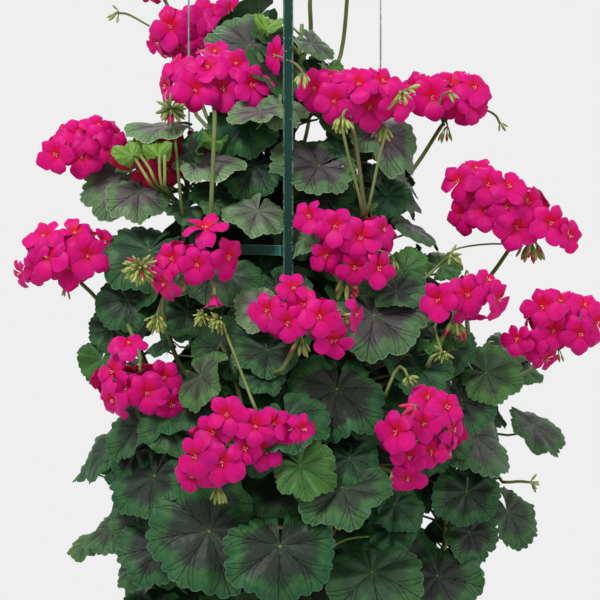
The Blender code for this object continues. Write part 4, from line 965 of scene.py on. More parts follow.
def place_front_leaves():
    """Lays the table's leaves. A leaf's normal shows the given share to the viewer, and the rest of it leans
    as the table says; its radius grows with its distance, so that it looks as large as the table has it."""
    rng = np.random.default_rng(11)
    for x, z, behind, radius, shows, lean, tip, pale, zone, youth in FRONT_LEAVES:
        depth = front_face(x, z) + behind
        junction = seen(x, z, depth)
        slope = math.sqrt(1.0 - shows ** 2)
        lean, tip = math.radians(lean), math.radians(tip)
        normal = np.array((math.sin(lean) * slope, -shows, math.cos(lean) * slope))
        flat = np.array((math.cos(tip), 0.0, math.sin(tip)))
        way = flat - np.array((0.0, np.dot(normal, flat) / normal[1], 0.0))
        radius = radius * (depth - EYE[1]) / -EYE[1]
        edge_on = shows < EDGE_ON
        relief = (rng.uniform(0.95, 1.45) + 0.7 * youth) * (0.7 if edge_on else 1.0)
        if edge_on:
            fold = rng.uniform(-0.05, 0.08)
        else:
            fold = rng.uniform(-0.15, 0.28) + 0.6 * max(youth - 0.8, 0.0) / 0.2
        droop = rng.uniform(0.08, 0.22)
        piece = owner(junction)
        tone = (pale, zone, youth, 0.0)
        leaf(piece, junction, normal, way, radius, FRONT_GRID, tone, rng, relief, fold, droop)
        thick = 0.0018 if youth > 0.9 else 0.0008 + 0.012 * radius
        leaf_stalk(piece, junction, normal, rng, thick, age=0.1)


# ---- the mass of leaves behind them ----
# Left and right edge of the foliage's mass in the front view: height, left, right.
OUTLINE = np.array((
    (-0.190, -0.050, -0.004),
    (-0.225, -0.090, 0.000),
    (-0.262, -0.080, 0.020),
    (-0.290, -0.060, 0.120),
    (-0.330, -0.100, 0.132),
    (-0.360, -0.185, 0.134),
    (-0.400, -0.150, 0.136),
    (-0.430, -0.160, 0.140),
    (-0.460, -0.185, 0.150),
    (-0.500, -0.190, 0.190),
    (-0.540, -0.192, 0.215),
    (-0.600, -0.182, 0.222),
    (-0.680, -0.182, 0.218),
    (-0.740, -0.175, 0.205),
    (-0.800, -0.165, 0.192),
    (-0.860, -0.120, 0.120),
))

# Places of the front view that stay open right through: x, z, half width and half height.
OPENINGS = (
    (0.147, -0.712, 0.008, 0.026),
    (0.040, -0.205, 0.034, 0.030),
    (0.016, -0.312, 0.008, 0.006),
    (0.027, -0.322, 0.010, 0.005),
    (-0.083, -0.312, 0.014, 0.012),
    (-0.094, -0.376, 0.004, 0.014),
    (-0.066, -0.359, 0.008, 0.004),
    (-0.130, -0.402, 0.008, 0.014),
    (-0.172, -0.416, 0.014, 0.010),
    (0.110, -0.424, 0.010, 0.014),
    (0.148, -0.432, 0.008, 0.006),
    (-0.174, -0.530, 0.006, 0.010),
    (-0.141, -0.545, 0.019, 0.012),
    (-0.180, -0.680, 0.010, 0.010),
)

# A leaf's mean reach sideways, as a share of its radius, and the least radius of a leaf of the mass.
LEAF_REACH = 0.80
SMALLEST_LEAF = 0.013
# The crossbar's height and left end, and the depth and foot of the stretch of post that shows.
BAR_HEIGHT, BAR_END = -0.440, -0.058
POST_DEPTH, POST_FOOT = -0.085, -0.475
# How deep the front leaves' own layer is.
FRONT_LAYER = 0.026
# Height of the mass's highest leaves, and the heights under which they look less up and carry less painted
# sheen (paleness).
MASS_TOP = -0.200
UPWARD_ABOVE, PAINTED_SHEEN_ABOVE = -0.60, -0.58


def front_place(point):
    """Where the eye sees a point over the upright plane through the hook: x and z."""
    way = EYE + (point - EYE) * (EYE[1] / (EYE[1] - point[1]))
    return way[0], way[2]


def shows_through(point):
    """True behind the foliage where the eye would see a flower through one of the openings."""
    if point[1] < 0.05:
        return False
    x, z = front_place(point)
    return any(abs(x - cx) < wide + 0.024 and abs(z - cz) < tall + 0.022 for cx, cz, wide, tall in OPENINGS)


def room_for(junction, radius):
    """The junction, moved sideways so that its leaf stays inside the outline of the front view, and the
    radius, made less beside an opening; None where no leaf fits. Each opening is an ellipse."""
    x, z = front_place(junction)
    for cx, cz, wide, tall in OPENINGS:
        dx, dz = x - cx, z - cz
        far = math.hypot(dx / wide, dz / tall)
        if far < 1.15:
            return None
        radius = min(radius, math.hypot(dx, dz) * (1.0 - 1.0 / far) / LEAF_REACH)
    left, right = read_table(OUTLINE, z, (1, 2))
    reach = LEAF_REACH * radius
    if radius < SMALLEST_LEAF or right - left < 2.0 * reach or z > OUTLINE[0, 0] - 0.5 * radius:
        return None
    return junction + np.array((np.clip(x, left + reach, right - reach) - x, 0.0, 0.0)), radius


def blocks(junction, radius):
    """True where a mass leaf would stand before the post or the crossbar, or where the front already has its
    own leaves."""
    x, z = front_place(junction)
    if junction[1] > 0.0:
        return False
    if abs(z - BAR_HEIGHT) < 0.75 * radius + 0.004 and BAR_END - 0.7 * radius < x < 0.0:
        return True
    if junction[1] < POST_DEPTH and z > POST_FOOT and abs(x) < radius + 0.012:
        return True
    return junction[1] < front_face(x, z) + FRONT_LAYER


def fill_leaf(rng, height, azimuth, inset, grid, radius, pale):
    """A leaf of the mass: it stands on the foliage's face or a given way inside it, and looks out and up."""
    reach = canopy_reach(height, azimuth) - inset
    if reach < 0.012:
        return
    out = np.array((math.cos(azimuth), math.sin(azimuth), 0.0))
    found = room_for(out * reach + UP * height, radius)
    if found is None or blocks(*found):
        return
    junction, radius = found
    rise = rng.uniform(0.35, 1.1) if height > UPWARD_ABOVE else rng.uniform(0.05, 0.65)
    normal = unit(out + UP * rise + rng.normal(0.0, 0.22, 3))
    tip = unit(out * 0.7 - UP * rng.uniform(0.3, 1.0) + rng.normal(0.0, 0.35, 3))
    youth = 0.7 if junction[1] > 0.03 and rng.random() < 0.08 else rng.uniform(0.0, 0.12)
    # Paleness is the painted sheen of the top light; the lower leaves are painted with less of it.
    pale = pale * (1.0 if height > PAINTED_SHEEN_ABOVE else 0.3) * rng.uniform(0.2, 1.0)
    tone = (pale, rng.uniform(0.6, 1.0) * (1.0 - youth), youth, 0.0)
    piece = owner(junction)
    if grid == FULL_GRID:
        relief, fold, droop, sides, count = rng.uniform(0.8, 1.2), rng.uniform(-0.08, 0.2), 0.12, 6, 7
    else:
        relief, fold, droop, sides, count = 0.35, 0.0, 0.02, 4, 5
    leaf(piece, junction, normal, tip, radius, grid, tone, rng, relief, fold, droop)
    leaf_stalk(piece, junction, normal, rng, 0.0012, 0.2, sides, count)


def place_mass():
    """Two kinds of leaves that step by the golden angle down the plant: an outer skin at the sides and back,
    of fuller ones, and four layers of plainer ones behind it, all round."""
    rng = np.random.default_rng(5)
    count = 170
    for k in range(count):
        height = MASS_TOP - 0.640 * ((k + 0.5) / count) ** 0.85
        azimuth = k * GOLDEN
        if math.sin(azimuth) < -0.35:
            continue
        depth = rng.uniform(0.0, 0.022)
        fill_leaf(rng, height, azimuth, depth, FULL_GRID, rng.uniform(0.030, 0.048), 0.30)
    layers = ((0.032, 150, 0.040), (0.058, 130, 0.044), (0.090, 100, 0.046), (0.120, 60, 0.048))
    for inset, count, size in layers:
        for k in range(count):
            height = MASS_TOP - 0.630 * ((k + 0.5) / count) ** 0.9
            azimuth = k * GOLDEN + inset * 40.0
            depth = inset + rng.uniform(-0.010, 0.012)
            fill_leaf(rng, height, azimuth, depth, PLAIN_GRID, size * rng.uniform(0.75, 1.15), 0.0)


# ---- flower heads ----
# Each head: x and z of its middle as the eye sees it over the hook's plane, depth of the middle, half depth,
# then where its stalk ends (right of and above the middle, in millimetres) and the points that the stalk
# passes through. The one without a name has no solid of its own.
HEADS = {
    "flower_head_crown_back_left": (-0.093, -0.218, 0.145, 0.030, (0, -24), ()),
    "flower_head_crown_left": (-0.071, -0.268, -0.060, 0.034, (-3, -30),
                               ((-0.073, -0.310), (-0.075, -0.360), (-0.077, -0.405))),
    "flower_head_crown_right": (0.067, -0.288, -0.080, 0.032, (-4, -24),
                                ((0.064, -0.315), (0.070, -0.350), (0.077, -0.405))),
    "flower_head_upper_right": (0.162, -0.287, 0.000, 0.028, (-7, -28), ((0.152, -0.318), (0.126, -0.358))),
    "flower_head_upper_left": (-0.203, -0.337, -0.020, 0.028, (22, -16), ((-0.160, -0.372),)),
    "flower_head_middle_left": (-0.223, -0.443, -0.070, 0.030, (16, -30),
                                ((-0.188, -0.493), (-0.143, -0.555))),
    "flower_head_middle_right": (0.217, -0.395, -0.040, 0.034, (7, -40),
                                 ((0.203, -0.465), (0.180, -0.490))),
    "flower_head_front_left": (-0.093, -0.448, -0.175, 0.026, (-20, -16),
                               ((-0.125, -0.500), (-0.105, -0.560))),
    "flower_head_front_centre": (0.022, -0.508, -0.220, 0.028, (-12, -18),
                                 ((0.008, -0.534), (-0.006, -0.560))),
    "flower_head_front_right": (0.062, -0.433, -0.145, 0.030, (-3, -8), ((0.048, -0.480), (0.040, -0.520))),
    "flower_head_lower_right": (0.177, -0.485, -0.135, 0.028, (-8, -20),
                                ((0.160, -0.518), (0.142, -0.550))),
    "flower_head_far_right": (0.272, -0.515, -0.050, 0.028, (-6, -24), ((0.237, -0.563),)),
    "flower_head_low_left": (-0.151, -0.572, -0.150, 0.030, (2, 2), ((-0.148, -0.545), (-0.160, -0.515))),
    "flower_head_low_centre": (-0.050, -0.632, -0.222, 0.034, (-4, -6),
                               ((-0.046, -0.600), (-0.066, -0.535))),
    "flower_head_low_right": (0.130, -0.628, -0.195, 0.034, (6, 0), ()),
    None: (-0.128, -0.345, -0.062, 0.014, (4, -16), ()),
}

# Flowers of those heads: throat right of and above the head's middle, in millimetres; the way it faces to the
# right and upwards, in degrees; petal length in millimetres.
FLOWERS = {
    "flower_head_crown_back_left": (
        (-23, 0, -15, 0, 25), (0, 1, 0, 5, 24), (12, 11, 15, 25, 23), (-17, -18, -5, -30, 20),
        (35, 14, 45, 10, 19), (-35, -16, -50, -20, 18), (2, -20, 0, -50, 20), (25, 8, 25, 20, 21)),
    "flower_head_crown_left": (
        (-21, -13, -5, -5, 24), (6, -11, 5, -5, 24), (34, -8, 20, 0, 23), (-49, -10, -65, -5, 20),
        (-27, 5, -25, 30, 22), (-9, 8, 0, 35, 22), (19, 12, 10, 35, 23), (60, 21, -50, 5, 21),
        (-2, 23, 0, 60, 20), (-36, 10, -30, 45, 20)),
    "flower_head_crown_right": (
        (-21, -4, 5, 0, 23), (-39, 8, -30, 5, 24), (3, 12, 0, 30, 22), (14, -10, 0, -8, 25),
        (27, 14, 20, 40, 21), (42, -4, 35, -5, 22), (-25, 18, -10, 50, 20), (-5, 18, 5, 55, 20)),
    "flower_head_upper_right": (
        (-18, -1, -10, 0, 24), (10, -9, 0, -25, 20), (24, -10, 30, -10, 20), (0, 10, 0, 35, 22),
        (-35, 7, -50, 5, 20), (23, 7, 25, 30, 22), (-20, 12, -20, 45, 20)),
    "flower_head_upper_left": (
        (-27, -8, -30, -5, 21), (-2, -10, -5, -8, 22), (18, 4, 15, 0, 22), (-5, 10, 0, 25, 22),
        (15, 18, 10, 45, 20), (28, 10, 40, 15, 19), (-17, 9, -30, 30, 20)),
    "flower_head_middle_left": (
        (-17, -4, -20, 0, 24), (5, -14, 0, -8, 24), (22, -3, 15, 0, 24), (-43, -20, -60, -20, 16),
        (10, 18, 10, 45, 22), (-20, 15, -25, 35, 22), (38, 10, 45, 10, 18), (-29, -17, -30, -30, 18)),
    "flower_head_middle_right": (
        (-46, 23, -30, 10, 21), (-31, 8, -5, 5, 20), (-18, 19, 5, 15, 21), (-41, -11, -25, -10, 20),
        (-20, -7, 0, 0, 22), (3, 17, 15, 30, 21), (11, -22, 0, -10, 24), (0, -3, 5, 5, 20),
        (21, 2, 30, 15, 21), (45, -19, 10, 0, 23), (63, -31, 40, -10, 17), (-29, 35, -5, 50, 20)),
    "flower_head_front_left": (
        (10, 28, 5, 58, 24), (31, 0, 50, 0, 24), (2, -7, 0, -5, 21), (-22, -1, -15, 5, 20),
        (-29, -25, -45, -20, 23), (19, -37, 5, -72, 10)),
    "flower_head_front_centre": (
        (10, 1, 0, 0, 22), (-42, 7, -25, 5, 22), (-22, -5, -5, -5, 21), (-6, 12, -5, 25, 18),
        (24, -22, 0, -20, 22), (43, 3, 68, 0, 22), (-18, 29, 30, 20, 20)),
    "flower_head_front_right": (
        (-15, 16, 0, 5, 22), (-39, 26, -35, 10, 20), (10, 5, 5, 0, 24), (-23, -13, -15, -5, 20),
        (5, -24, 0, -10, 20), (28, -25, 25, -5, 21), (32, 13, 45, 10, 17)),
    "flower_head_lower_right": (
        (-26, -5, -15, -5, 21), (2, 0, 0, 0, 23), (32, -5, 50, -5, 21), (4, -18, 0, -50, 17),
        (22, 14, 30, 40, 16)),
    "flower_head_far_right": (
        (-17, 18, -20, 10, 22), (-7, -6, 0, -5, 21), (20, -9, 5, -8, 22), (0, 22, 0, 45, 21),
        (24, 18, 20, 40, 20), (-42, -15, -30, 5, 18), (-29, -20, -15, -10, 17), (36, 2, 35, 5, 20),
        (-14, -34, 25, -25, 15)),
    "flower_head_low_left": (
        (-9, 37, 20, 55, 21), (-23, 10, -40, 5, 22), (10, -11, 0, -5, 23), (26, 4, 20, 0, 21),
        (34, -22, 20, -20, 18), (-23, -18, -45, -20, 23), (-10, -6, -15, 0, 18)),
    "flower_head_low_centre": (
        (-11, 26, -5, 15, 22), (-24, 9, -10, 5, 22), (-42, -15, -25, -5, 23), (-45, -34, -15, -20, 20),
        (-16, -21, 0, -5, 25), (17, 15, 5, 8, 22), (35, 17, 10, 10, 20), (7, -7, 5, 0, 18),
        (26, -10, 5, -5, 22), (50, 12, 40, 5, 20), (64, 12, 45, 5, 18), (-29, -36, -10, -35, 16)),
    "flower_head_low_right": (
        (-21, 6, -20, 0, 24), (-8, -19, -5, -8, 20), (6, 14, 0, 5, 20), (10, 38, 0, 40, 22),
        (28, 30, 25, 15, 20), (34, 8, 55, 0, 20), (13, -14, 10, -5, 18), (29, -5, 50, -10, 14),
        (-10, -39, 0, -35, 22)),
    None: (
        (-16, 4, 0, 10, 19), (-38, -4, -20, -40, 17), (8, -14, 10, -20, 20), (12, 10, 20, 10, 17),
        (38, 12, 30, 20, 15), (-12, -18, -10, -30, 18)),
}

# Heads whose stalks run down before the leaves.
STALKS_IN_FRONT = ("flower_head_crown_left", "flower_head_crown_right", "flower_head_lower_right",
                   "flower_head_front_centre")

# Age of a head's own stalk, and of the one that has turned brown.
STALK_AGE = 0.20
AGED_STALKS = {"flower_head_crown_right": 0.75}

# Further stalks that rise beside a head's own, from the top down.
SIDE_STALKS = {
    None: (((-0.154, -0.346), (-0.145, -0.361), (-0.138, -0.372)),
           ((-0.147, -0.346), (-0.139, -0.357), (-0.133, -0.370)),
           ((-0.128, -0.345), (-0.128, -0.362), (-0.126, -0.374)),
           ((-0.123, -0.345), (-0.123, -0.363), (-0.123, -0.374))),
    "flower_head_crown_right": (((0.099, -0.318), (0.090, -0.352), (0.081, -0.396)),
                                ((0.054, -0.318), (0.061, -0.350), (0.068, -0.374), (0.074, -0.400))),
}

# Bunches of buds on those heads: right of and above the middle in millimetres, how many, their length in
# millimetres, how far they hang, and how ripe they are.
BUNCHES = {
    "flower_head_crown_right": ((26, -26, 14, 12, 9, 0.15), (-36, 20, 3, 16, 4, 0.0)),
    "flower_head_upper_right": ((-3, -30, 5, 10, 8, 0.0),),
    "flower_head_middle_left": ((0, -32, 3, 8, 6, 0.1),),
    "flower_head_middle_right": ((26, -34, 17, 14, 12, 0.05), (-55, -48, 4, 12, 6, 0.0)),
    "flower_head_front_left": ((-14, -20, 4, 10, 6, 0.1),),
    "flower_head_front_centre": ((-2, 30, 6, 8, 8, 0.0), (-8, -20, 5, 10, 9, 0.0), (33, 6, 7, 8, 8, 0.1)),
    "flower_head_front_right": ((-2, -30, 6, 14, 14, 0.2), (42, -14, 3, 9, 8, 0.0)),
    "flower_head_lower_right": ((2, 24, 3, 8, 4, 0.1), (-10, -22, 7, 13, 10, 0.1)),
    "flower_head_far_right": ((-2, -24, 3, 9, 8, 0.0),),
    "flower_head_low_centre": ((-20, -44, 7, 11, 8, 0.0),),
    "flower_head_low_right": ((-20, -26, 3, 20, 4, 0.2), (28, -6, 5, 12, 4, 0.2)),
}

# Heads out of the front view, and the small one at the top left: middle, half width, half height, seed, and
# the points that the stalk passes through.
ROUND_HEADS = (
    ("flower_head_top_front", (0.035, -0.045, -0.130), 0.046, 0.034, 1, ((0.022, -0.190), (0.022, -0.228))),
    ("flower_head_top_right", (0.078, 0.050, -0.112), 0.048, 0.034, 2, ((0.060, -0.175), (0.049, -0.256))),
    ("flower_head_back_high", (0.025, 0.150, -0.285), 0.050, 0.034, 18, ()),
    ("flower_head_back_left", (-0.150, 0.175, -0.415), 0.052, 0.036, 19, ()),
    ("flower_head_back_right", (0.150, 0.185, -0.435), 0.052, 0.036, 20, ()),
    ("flower_head_back_low", (-0.010, 0.245, -0.560), 0.054, 0.038, 21, ()),
    (None, (-0.150, 0.185, -0.150), 0.026, 0.018, 22, ((-0.118, -0.200), (-0.096, -0.262), (-0.088, -0.310))),
)

# Umbels of young green buds: x, z and depth of the crown; how many, their length and how far they stand out,
# in millimetres; ripeness and darkness; the way that they open (90 is up) and how wide, in degrees; whether
# the stalk runs on to a stem; and the points that it passes through.
BUD_HEADS = (
    (-0.117, -0.300, -0.105, 34, 13, 6, 0.05, 0.75, 90, 140, True, ((-0.113, -0.325), (-0.107, -0.390))),
    (-0.147, -0.459, -0.190, 60, 10, 10, 0.06, 0.0, 262, 118, True, ((-0.132, -0.448), (-0.110, -0.446))),
    (-0.068, -0.510, -0.190, 30, 8, 8, 0.0, 0.0, 210, 80, True,
     ((-0.060, -0.528), (-0.042, -0.575), (-0.032, -0.600))),
    (-0.084, -0.506, -0.190, 20, 8, 6, 0.0, 0.0, 190, 75, False, ((-0.076, -0.508), (-0.068, -0.510))),
    (-0.131, -0.507, -0.180, 26, 10, 9, 0.06, 0.0, 264, 60, False, ((-0.129, -0.498), (-0.124, -0.484))),
    (0.154, -0.543, -0.165, 16, 8, 5, 0.0, 0.10, 265, 95, True, ((0.150, -0.530), (0.146, -0.520))),
    (0.120, -0.567, -0.215, 9, 9, 4, 0.0, 0.15, 285, 70, True,
     ((0.115, -0.557), (0.108, -0.560), (0.098, -0.583))),
    (0.243, -0.673, -0.150, 6, 8, 3, 0.0, 0.50, 0, 60, True, ((0.232, -0.672), (0.216, -0.673))),
    (0.211, -0.313, -0.010, 6, 8, 3, 0.0, 0.30, 300, 50, False,
     ((0.207, -0.306), (0.198, -0.301), (0.186, -0.302))),
    (0.054, -0.307, -0.125, 14, 12, 10, 0.0, 0.0, 264, 42, False, ((0.058, -0.300), (0.063, -0.308))),
    (0.058, -0.354, -0.100, 9, 11, 6, 0.0, 0.0, 262, 55, False, ((0.062, -0.362), (0.070, -0.380))),
    (0.162, -0.446, -0.125, 8, 12, 5, 0.0, 0.10, 20, 70, True, ((0.150, -0.456), (0.135, -0.470))),
    (0.114, -0.283, -0.142, 7, 10, 4, 0.0, 0.0, 278, 75, False, ((0.108, -0.292), (0.100, -0.300))),
    (0.119, -0.280, -0.142, 2, 13, 3, 0.0, 0.0, 15, 20, False, ((0.112, -0.284), (0.104, -0.294))),
    (0.160, -0.283, -0.052, 4, 11, 4, 0.05, 0.0, 325, 45, False, ((0.154, -0.286), (0.150, -0.298))),
    (0.015, -0.263, -0.150, 10, 10, 12, 0.10, 0.0, 266, 40, False,
     ((0.008, -0.255), (-0.004, -0.249), (-0.014, -0.246))),
    (-0.168, -0.204, 0.140, 5, 10, 8, 0.0, 0.20, 190, 60, False, ((-0.158, -0.206), (-0.138, -0.217))),
    (0.128, -0.596, -0.245, 4, 17, 4, 0.30, 0.0, 172, 35, False, ((0.131, -0.597),)),
)

# Length of a petal where no table gives it.
PETAL_LENGTH = 0.0225
FLOWER_COATS = (PETAL, STALK, STAMEN, BUD)


def facing(yaw, pitch):
    """The direction of something that faces the front, turned to the right by yaw and up by pitch, in
    degrees."""
    yaw, pitch = math.radians(yaw), math.radians(pitch)
    return np.array((math.sin(yaw) * math.cos(pitch), -math.cos(yaw) * math.cos(pitch), math.sin(pitch)))


def stalked_flower(petals, place, face, size, neck, rng, painted_shade=0.0, open_up=0.0):
    """A flower, its stamens, the green cup behind it, and the fine stalk from the cup to the head's neck."""
    flower(petals, place, face, rng.uniform(-0.35, 0.35), size, rng, painted_shade, open_up)
    stamens(petals, place, face, rng)
    base = place - face * 0.0080
    cup = np.array((base - face * 0.001, base + face * 0.003, place + face * 0.0006))
    tube(petals, cup, (0.0008, 0.0019, 0.0016), 6, (0.2, rng.random(), 0.0, 0.0), coat=3)
    way = unit(base - neck)
    span = np.linalg.norm(base - neck)
    path = bend(neck, neck + (way + UP * 0.4) * span * 0.35, base - face * span * 0.30, base, 6)
    tube(petals, path, 0.0008, 5, (0.35, rng.random(), 0.0, 0.0), coat=1)


def dive(before, last):
    """The end of a stalk that passes into the leaves: on by two fifths of its last step and 35 millimetres
    back, then to the nearest stem."""
    inner = last + 0.4 * (last - before) + np.array((0.0, 0.035, 0.0))
    return [inner, nearest_stem(inner)]


def main_stalk(petals, neck, marks, away, forward=False, age=STALK_AGE):
    """The stout stalk of a head, from its neck through the given points to the nearest stem. One that has no
    such points leaves the neck against the way given by away and meets the stem from above."""
    last = marks[-1] if marks else neck
    foot = nearest_stem(last, 0.030)
    if forward:
        route = [neck, *marks, *dive(([neck] + marks)[-2], last)]
    elif marks:
        route = [neck, *marks, foot]
    else:
        span = np.linalg.norm(foot - neck)
        leave = neck - away * span * 0.30 + (foot - neck) * 0.18
        arrive = foot + unit(UP + unit(neck - foot)) * span * 0.22
        route = [neck, leave, arrive, foot]
    radii = np.linspace(0.0020, 0.0024, 18)
    tube(petals, smooth_path(route, 18), radii, 9, (age, 0.3, 0.35, 0.0), coat=1)


def back_flowers(petals, node, neck, painted_shade, rng):
    """The flowers at the back of a shown head: they step by the golden angle over a cap that looks away, and
    none stands more than five millimetres beside one that shows."""
    x, z, depth, half_depth, _, _ = HEADS[node]
    spread = np.array([row[:2] for row in FLOWERS[node]], float) * MM
    reach = np.minimum(np.percentile(np.abs(spread), 70, axis=0), (42.0 * MM, 20.0 * MM))
    full = node and len(FLOWERS[node]) > 6
    for k in range(10 if full else 2):
        turn = k * GOLDEN + 0.5
        out = math.sqrt((k + 0.5) / 10.0)
        face = facing(180.0 - 65.0 * out * math.cos(turn), 38.0 + 44.0 * out * math.sin(turn))
        spot = np.array((1.1 * out * math.cos(turn), 0.75 * face[2] - 0.15)) * reach
        near = spread[np.argmin(np.linalg.norm(spread - spot, axis=1))]
        apart = np.linalg.norm(spot - near)
        spot = near + (spot - near) * min(1.0, 0.005 / max(apart, 1e-6))
        place = seen(x + spot[0], z + spot[1], depth + (half_depth + 0.006) * face[1])
        stalked_flower(petals, place, face, PETAL_LENGTH * rng.uniform(0.80, 0.95), neck, rng, painted_shade)


def shown_head(node):
    """A head whose flowers are placed one by one, with a few more that look to the back."""
    x, z, depth, half_depth, neck_at, stalk_marks = HEADS[node]
    rng = np.random.default_rng(40 + len(FLOWERS[node]) + int(abs(x) * 1000))
    petals = Piece("flowers_of_" + (node or "flower_head_hidden"))
    neck = seen(x + neck_at[0] * MM, z + neck_at[1] * MM, depth + 0.012)
    # The hidden head, deep among the leaves, gets painted shade: its petals are painted deep red.
    painted_shade = 0.0 if node else 0.85
    grow = (depth - EYE[1]) / -EYE[1]
    for number, (right, above, yaw, pitch, size) in enumerate(FLOWERS[node]):
        face = facing(yaw, pitch)
        nearer = 0.014 * ((number * 0.618) % 1.0 - 0.5)
        place = seen(x + right * MM, z + above * MM, depth + half_depth * face[1] + nearer)
        open_up = 1.1 if size < 12 else 0.0
        stalked_flower(petals, place, face, 0.93 * size * MM * grow, neck, rng, painted_shade, open_up)
    back_flowers(petals, node, neck, painted_shade, rng)
    for right, above, count, length, drop, ripe in BUNCHES.get(node, ()):
        top = seen(x + right * MM, z + above * MM, depth - 0.008)
        bud_cluster(petals, top, count, rng, length * MM, drop * MM, ripe)
        if np.linalg.norm(top - neck) > 0.012:
            path = bend(neck, neck + (top - neck) * 0.3 + UP * 0.006, top + UP * 0.006, top, 8)
            tube(petals, path, 0.0009, 6, (0.3, 0.5, 0.0, 0.0), coat=1)
    forward = node in STALKS_IN_FRONT
    marks = [seen(mx, mz, front_face(mx, mz) - 0.012 if forward else depth + 0.012 + 0.02 * (i + 1))
             for i, (mx, mz) in enumerate(stalk_marks)]
    main_stalk(petals, neck, marks, UP, forward, AGED_STALKS.get(node, STALK_AGE))
    # the stalks beside the hidden head are a fresher green and stand a little further forward
    nearer, tone = (0.028, (0.25, 0.3, 0.35, 0.0)) if node else (0.032, (0.0, 1.0, 0.0, 0.0))
    for points in SIDE_STALKS.get(node, ()):
        side = [seen(mx, mz, front_face(mx, mz) - nearer) for mx, mz in points]
        tube(petals, smooth_path(side + dive(side[-2], side[-1]), 16), 0.0015, 7, tone, coat=1)
    piece = petals.build(FLOWER_COATS, "petal")
    if node:
        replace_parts(piece, node)


def green_umbels():
    """Umbels of young buds: each bud stands out from the crown inside a cone round the given way, on a short
    foot. The polar angle grows with the square root of the bud's number and the turn steps by the golden
    angle."""
    rng = np.random.default_rng(77)
    for number, row in enumerate(BUD_HEADS):
        x, z, depth, count, length, spread, ripe, dark, way, cone, rooted, marks = row
        crown = seen(x, z, depth)
        way = math.radians(way)
        axis = unit(np.array((math.cos(way), -0.8, math.sin(way))))
        across = unit(np.cross(axis, (0.1, 0.9, 0.2)))
        other = np.cross(axis, across)
        umbel = Piece("bud_umbel_%02d" % number)
        for k in range(count):
            polar = math.radians(cone) * math.sqrt((k + 0.5) / count)
            turn = k * GOLDEN
            sideways = math.cos(turn) * across + math.sin(turn) * other
            out = unit(math.cos(polar) * axis + math.sin(polar) * sideways + rng.normal(0.0, 0.10, 3))
            foot = crown + out * spread * MM * rng.uniform(0.45, 0.90)
            tube(umbel, np.linspace(crown, foot, 3), 0.0006, 5, (0.2, rng.random(), dark, 0.0), coat=1)
            colour = 1.0 if rng.random() < ripe else rng.uniform(0.0, 0.3)
            size = length * MM * rng.uniform(0.70, 1.1)
            bud(umbel, foot, out - UP * 0.35, size, colour, rng, dark * rng.uniform(0.6, 1.1))
        route = [crown]
        for i, (mx, mz) in enumerate(marks):
            t = (i + 1.0) / len(marks)
            end = (front_face(mx, mz) - 0.008) * t + depth * (1.0 - t) if rooted else depth + 0.012 * t
            route.append(seen(mx, mz, end))
        if rooted:
            route += dive(route[-2], route[-1])
        radii = np.linspace(0.0013, 0.0020 if rooted else 0.0010, 18)
        age = 0.1 if rooted else min(1.0, 0.1 + 7.0 * ripe)
        tube(umbel, smooth_path(route, 18), radii, 8, (age, 0.7, 0.8 * dark, 0.0), coat=1)
        umbel.build(FLOWER_COATS, "petal")


def round_head(node, middle, half_width, half_height, seed, stalk_marks):
    """A head whose flowers step by the golden angle over a cap of a sphere round the head's axis; each stands
    on the ellipsoid of the head's half sizes, less a petal's own reach, and faces outward."""
    rng = np.random.default_rng(seed)
    centre = np.array(middle)
    half = np.array((half_width, half_width, half_height))
    outward = unit(np.array((centre[0], centre[1] - 0.01, 0.0)))
    axis = unit(outward * 0.75 + UP * 0.80)
    across = unit(np.cross(axis, outward + np.array((0.3, 0.1, 0.2))))
    other = np.cross(axis, across)
    neck = centre - axis * half[2] * 0.75
    petals = Piece("flowers_of_" + (node or "flower_head_small"))
    count = 14 if node else 8
    k = np.arange(count)
    polar = np.arccos(1.0 - 1.35 * (k + 0.5) / count)[:, None]
    turn = (k * GOLDEN + seed)[:, None]
    ways = np.cos(polar) * axis + np.sin(polar) * (np.cos(turn) * across + np.sin(turn) * other)
    ways = unit(ways + rng.normal(0.0, 0.10, (count, 3)))
    room = np.maximum(half - PETAL_LENGTH * np.array((0.70, 0.55, 0.50)), 0.004)
    for way in ways:
        place = centre + way * room * rng.uniform(0.86, 1.08)
        if shows_through(place):
            continue
        face = unit(way + outward * 0.25 + rng.normal(0.0, 0.16, 3))
        stalked_flower(petals, place, face, PETAL_LENGTH * rng.uniform(0.90, 1.08), neck, rng)
    deeper = 0.02 * (1.0 if centre[1] < 0.1 else -0.3)
    marks = [seen(mx, mz, centre[1] + deeper * (i + 1)) for i, (mx, mz) in enumerate(stalk_marks)]
    main_stalk(petals, neck, marks, axis)
    piece = petals.build(FLOWER_COATS, "petal")
    if node:
        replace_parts(piece, node)


# ---- stems, soil ----
STEM_ROWS, STEM_SIDES = 60, 14
JOINT_STEP = 0.028
POT_TAPER = 0.168


def woody_stem(name):
    """A stem: a rod along its curve that thins upwards and swells at its joints, one joint every 28
    millimetres, by the twelfth power of a cosine. Its bark is oldest at the foot."""
    _, _, thick, thin = STEMS[name]
    path = smooth_path(stem_knots(name), STEM_ROWS)
    length = np.r_[0.0, np.cumsum(np.linalg.norm(np.diff(path, axis=0), axis=1))]
    swell = np.abs(np.cos(math.pi * length / JOINT_STEP)) ** 12
    radii = np.linspace(thick, thin, STEM_ROWS) * (1.0 + 0.16 * swell)
    stem = Piece("bark_of_" + name)
    tones = np.zeros((STEM_ROWS * STEM_SIDES + 2, 4))
    tones[:-2, 0] = np.repeat(np.linspace(1.0, 0.15, STEM_ROWS), STEM_SIDES)
    tones[-2:, 0] = (1.0, 0.15)
    tones[:, 1] = 0.3
    tube(stem, path, radii, STEM_SIDES, tones)
    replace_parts(stem.build((STALK,), "stem"), name)


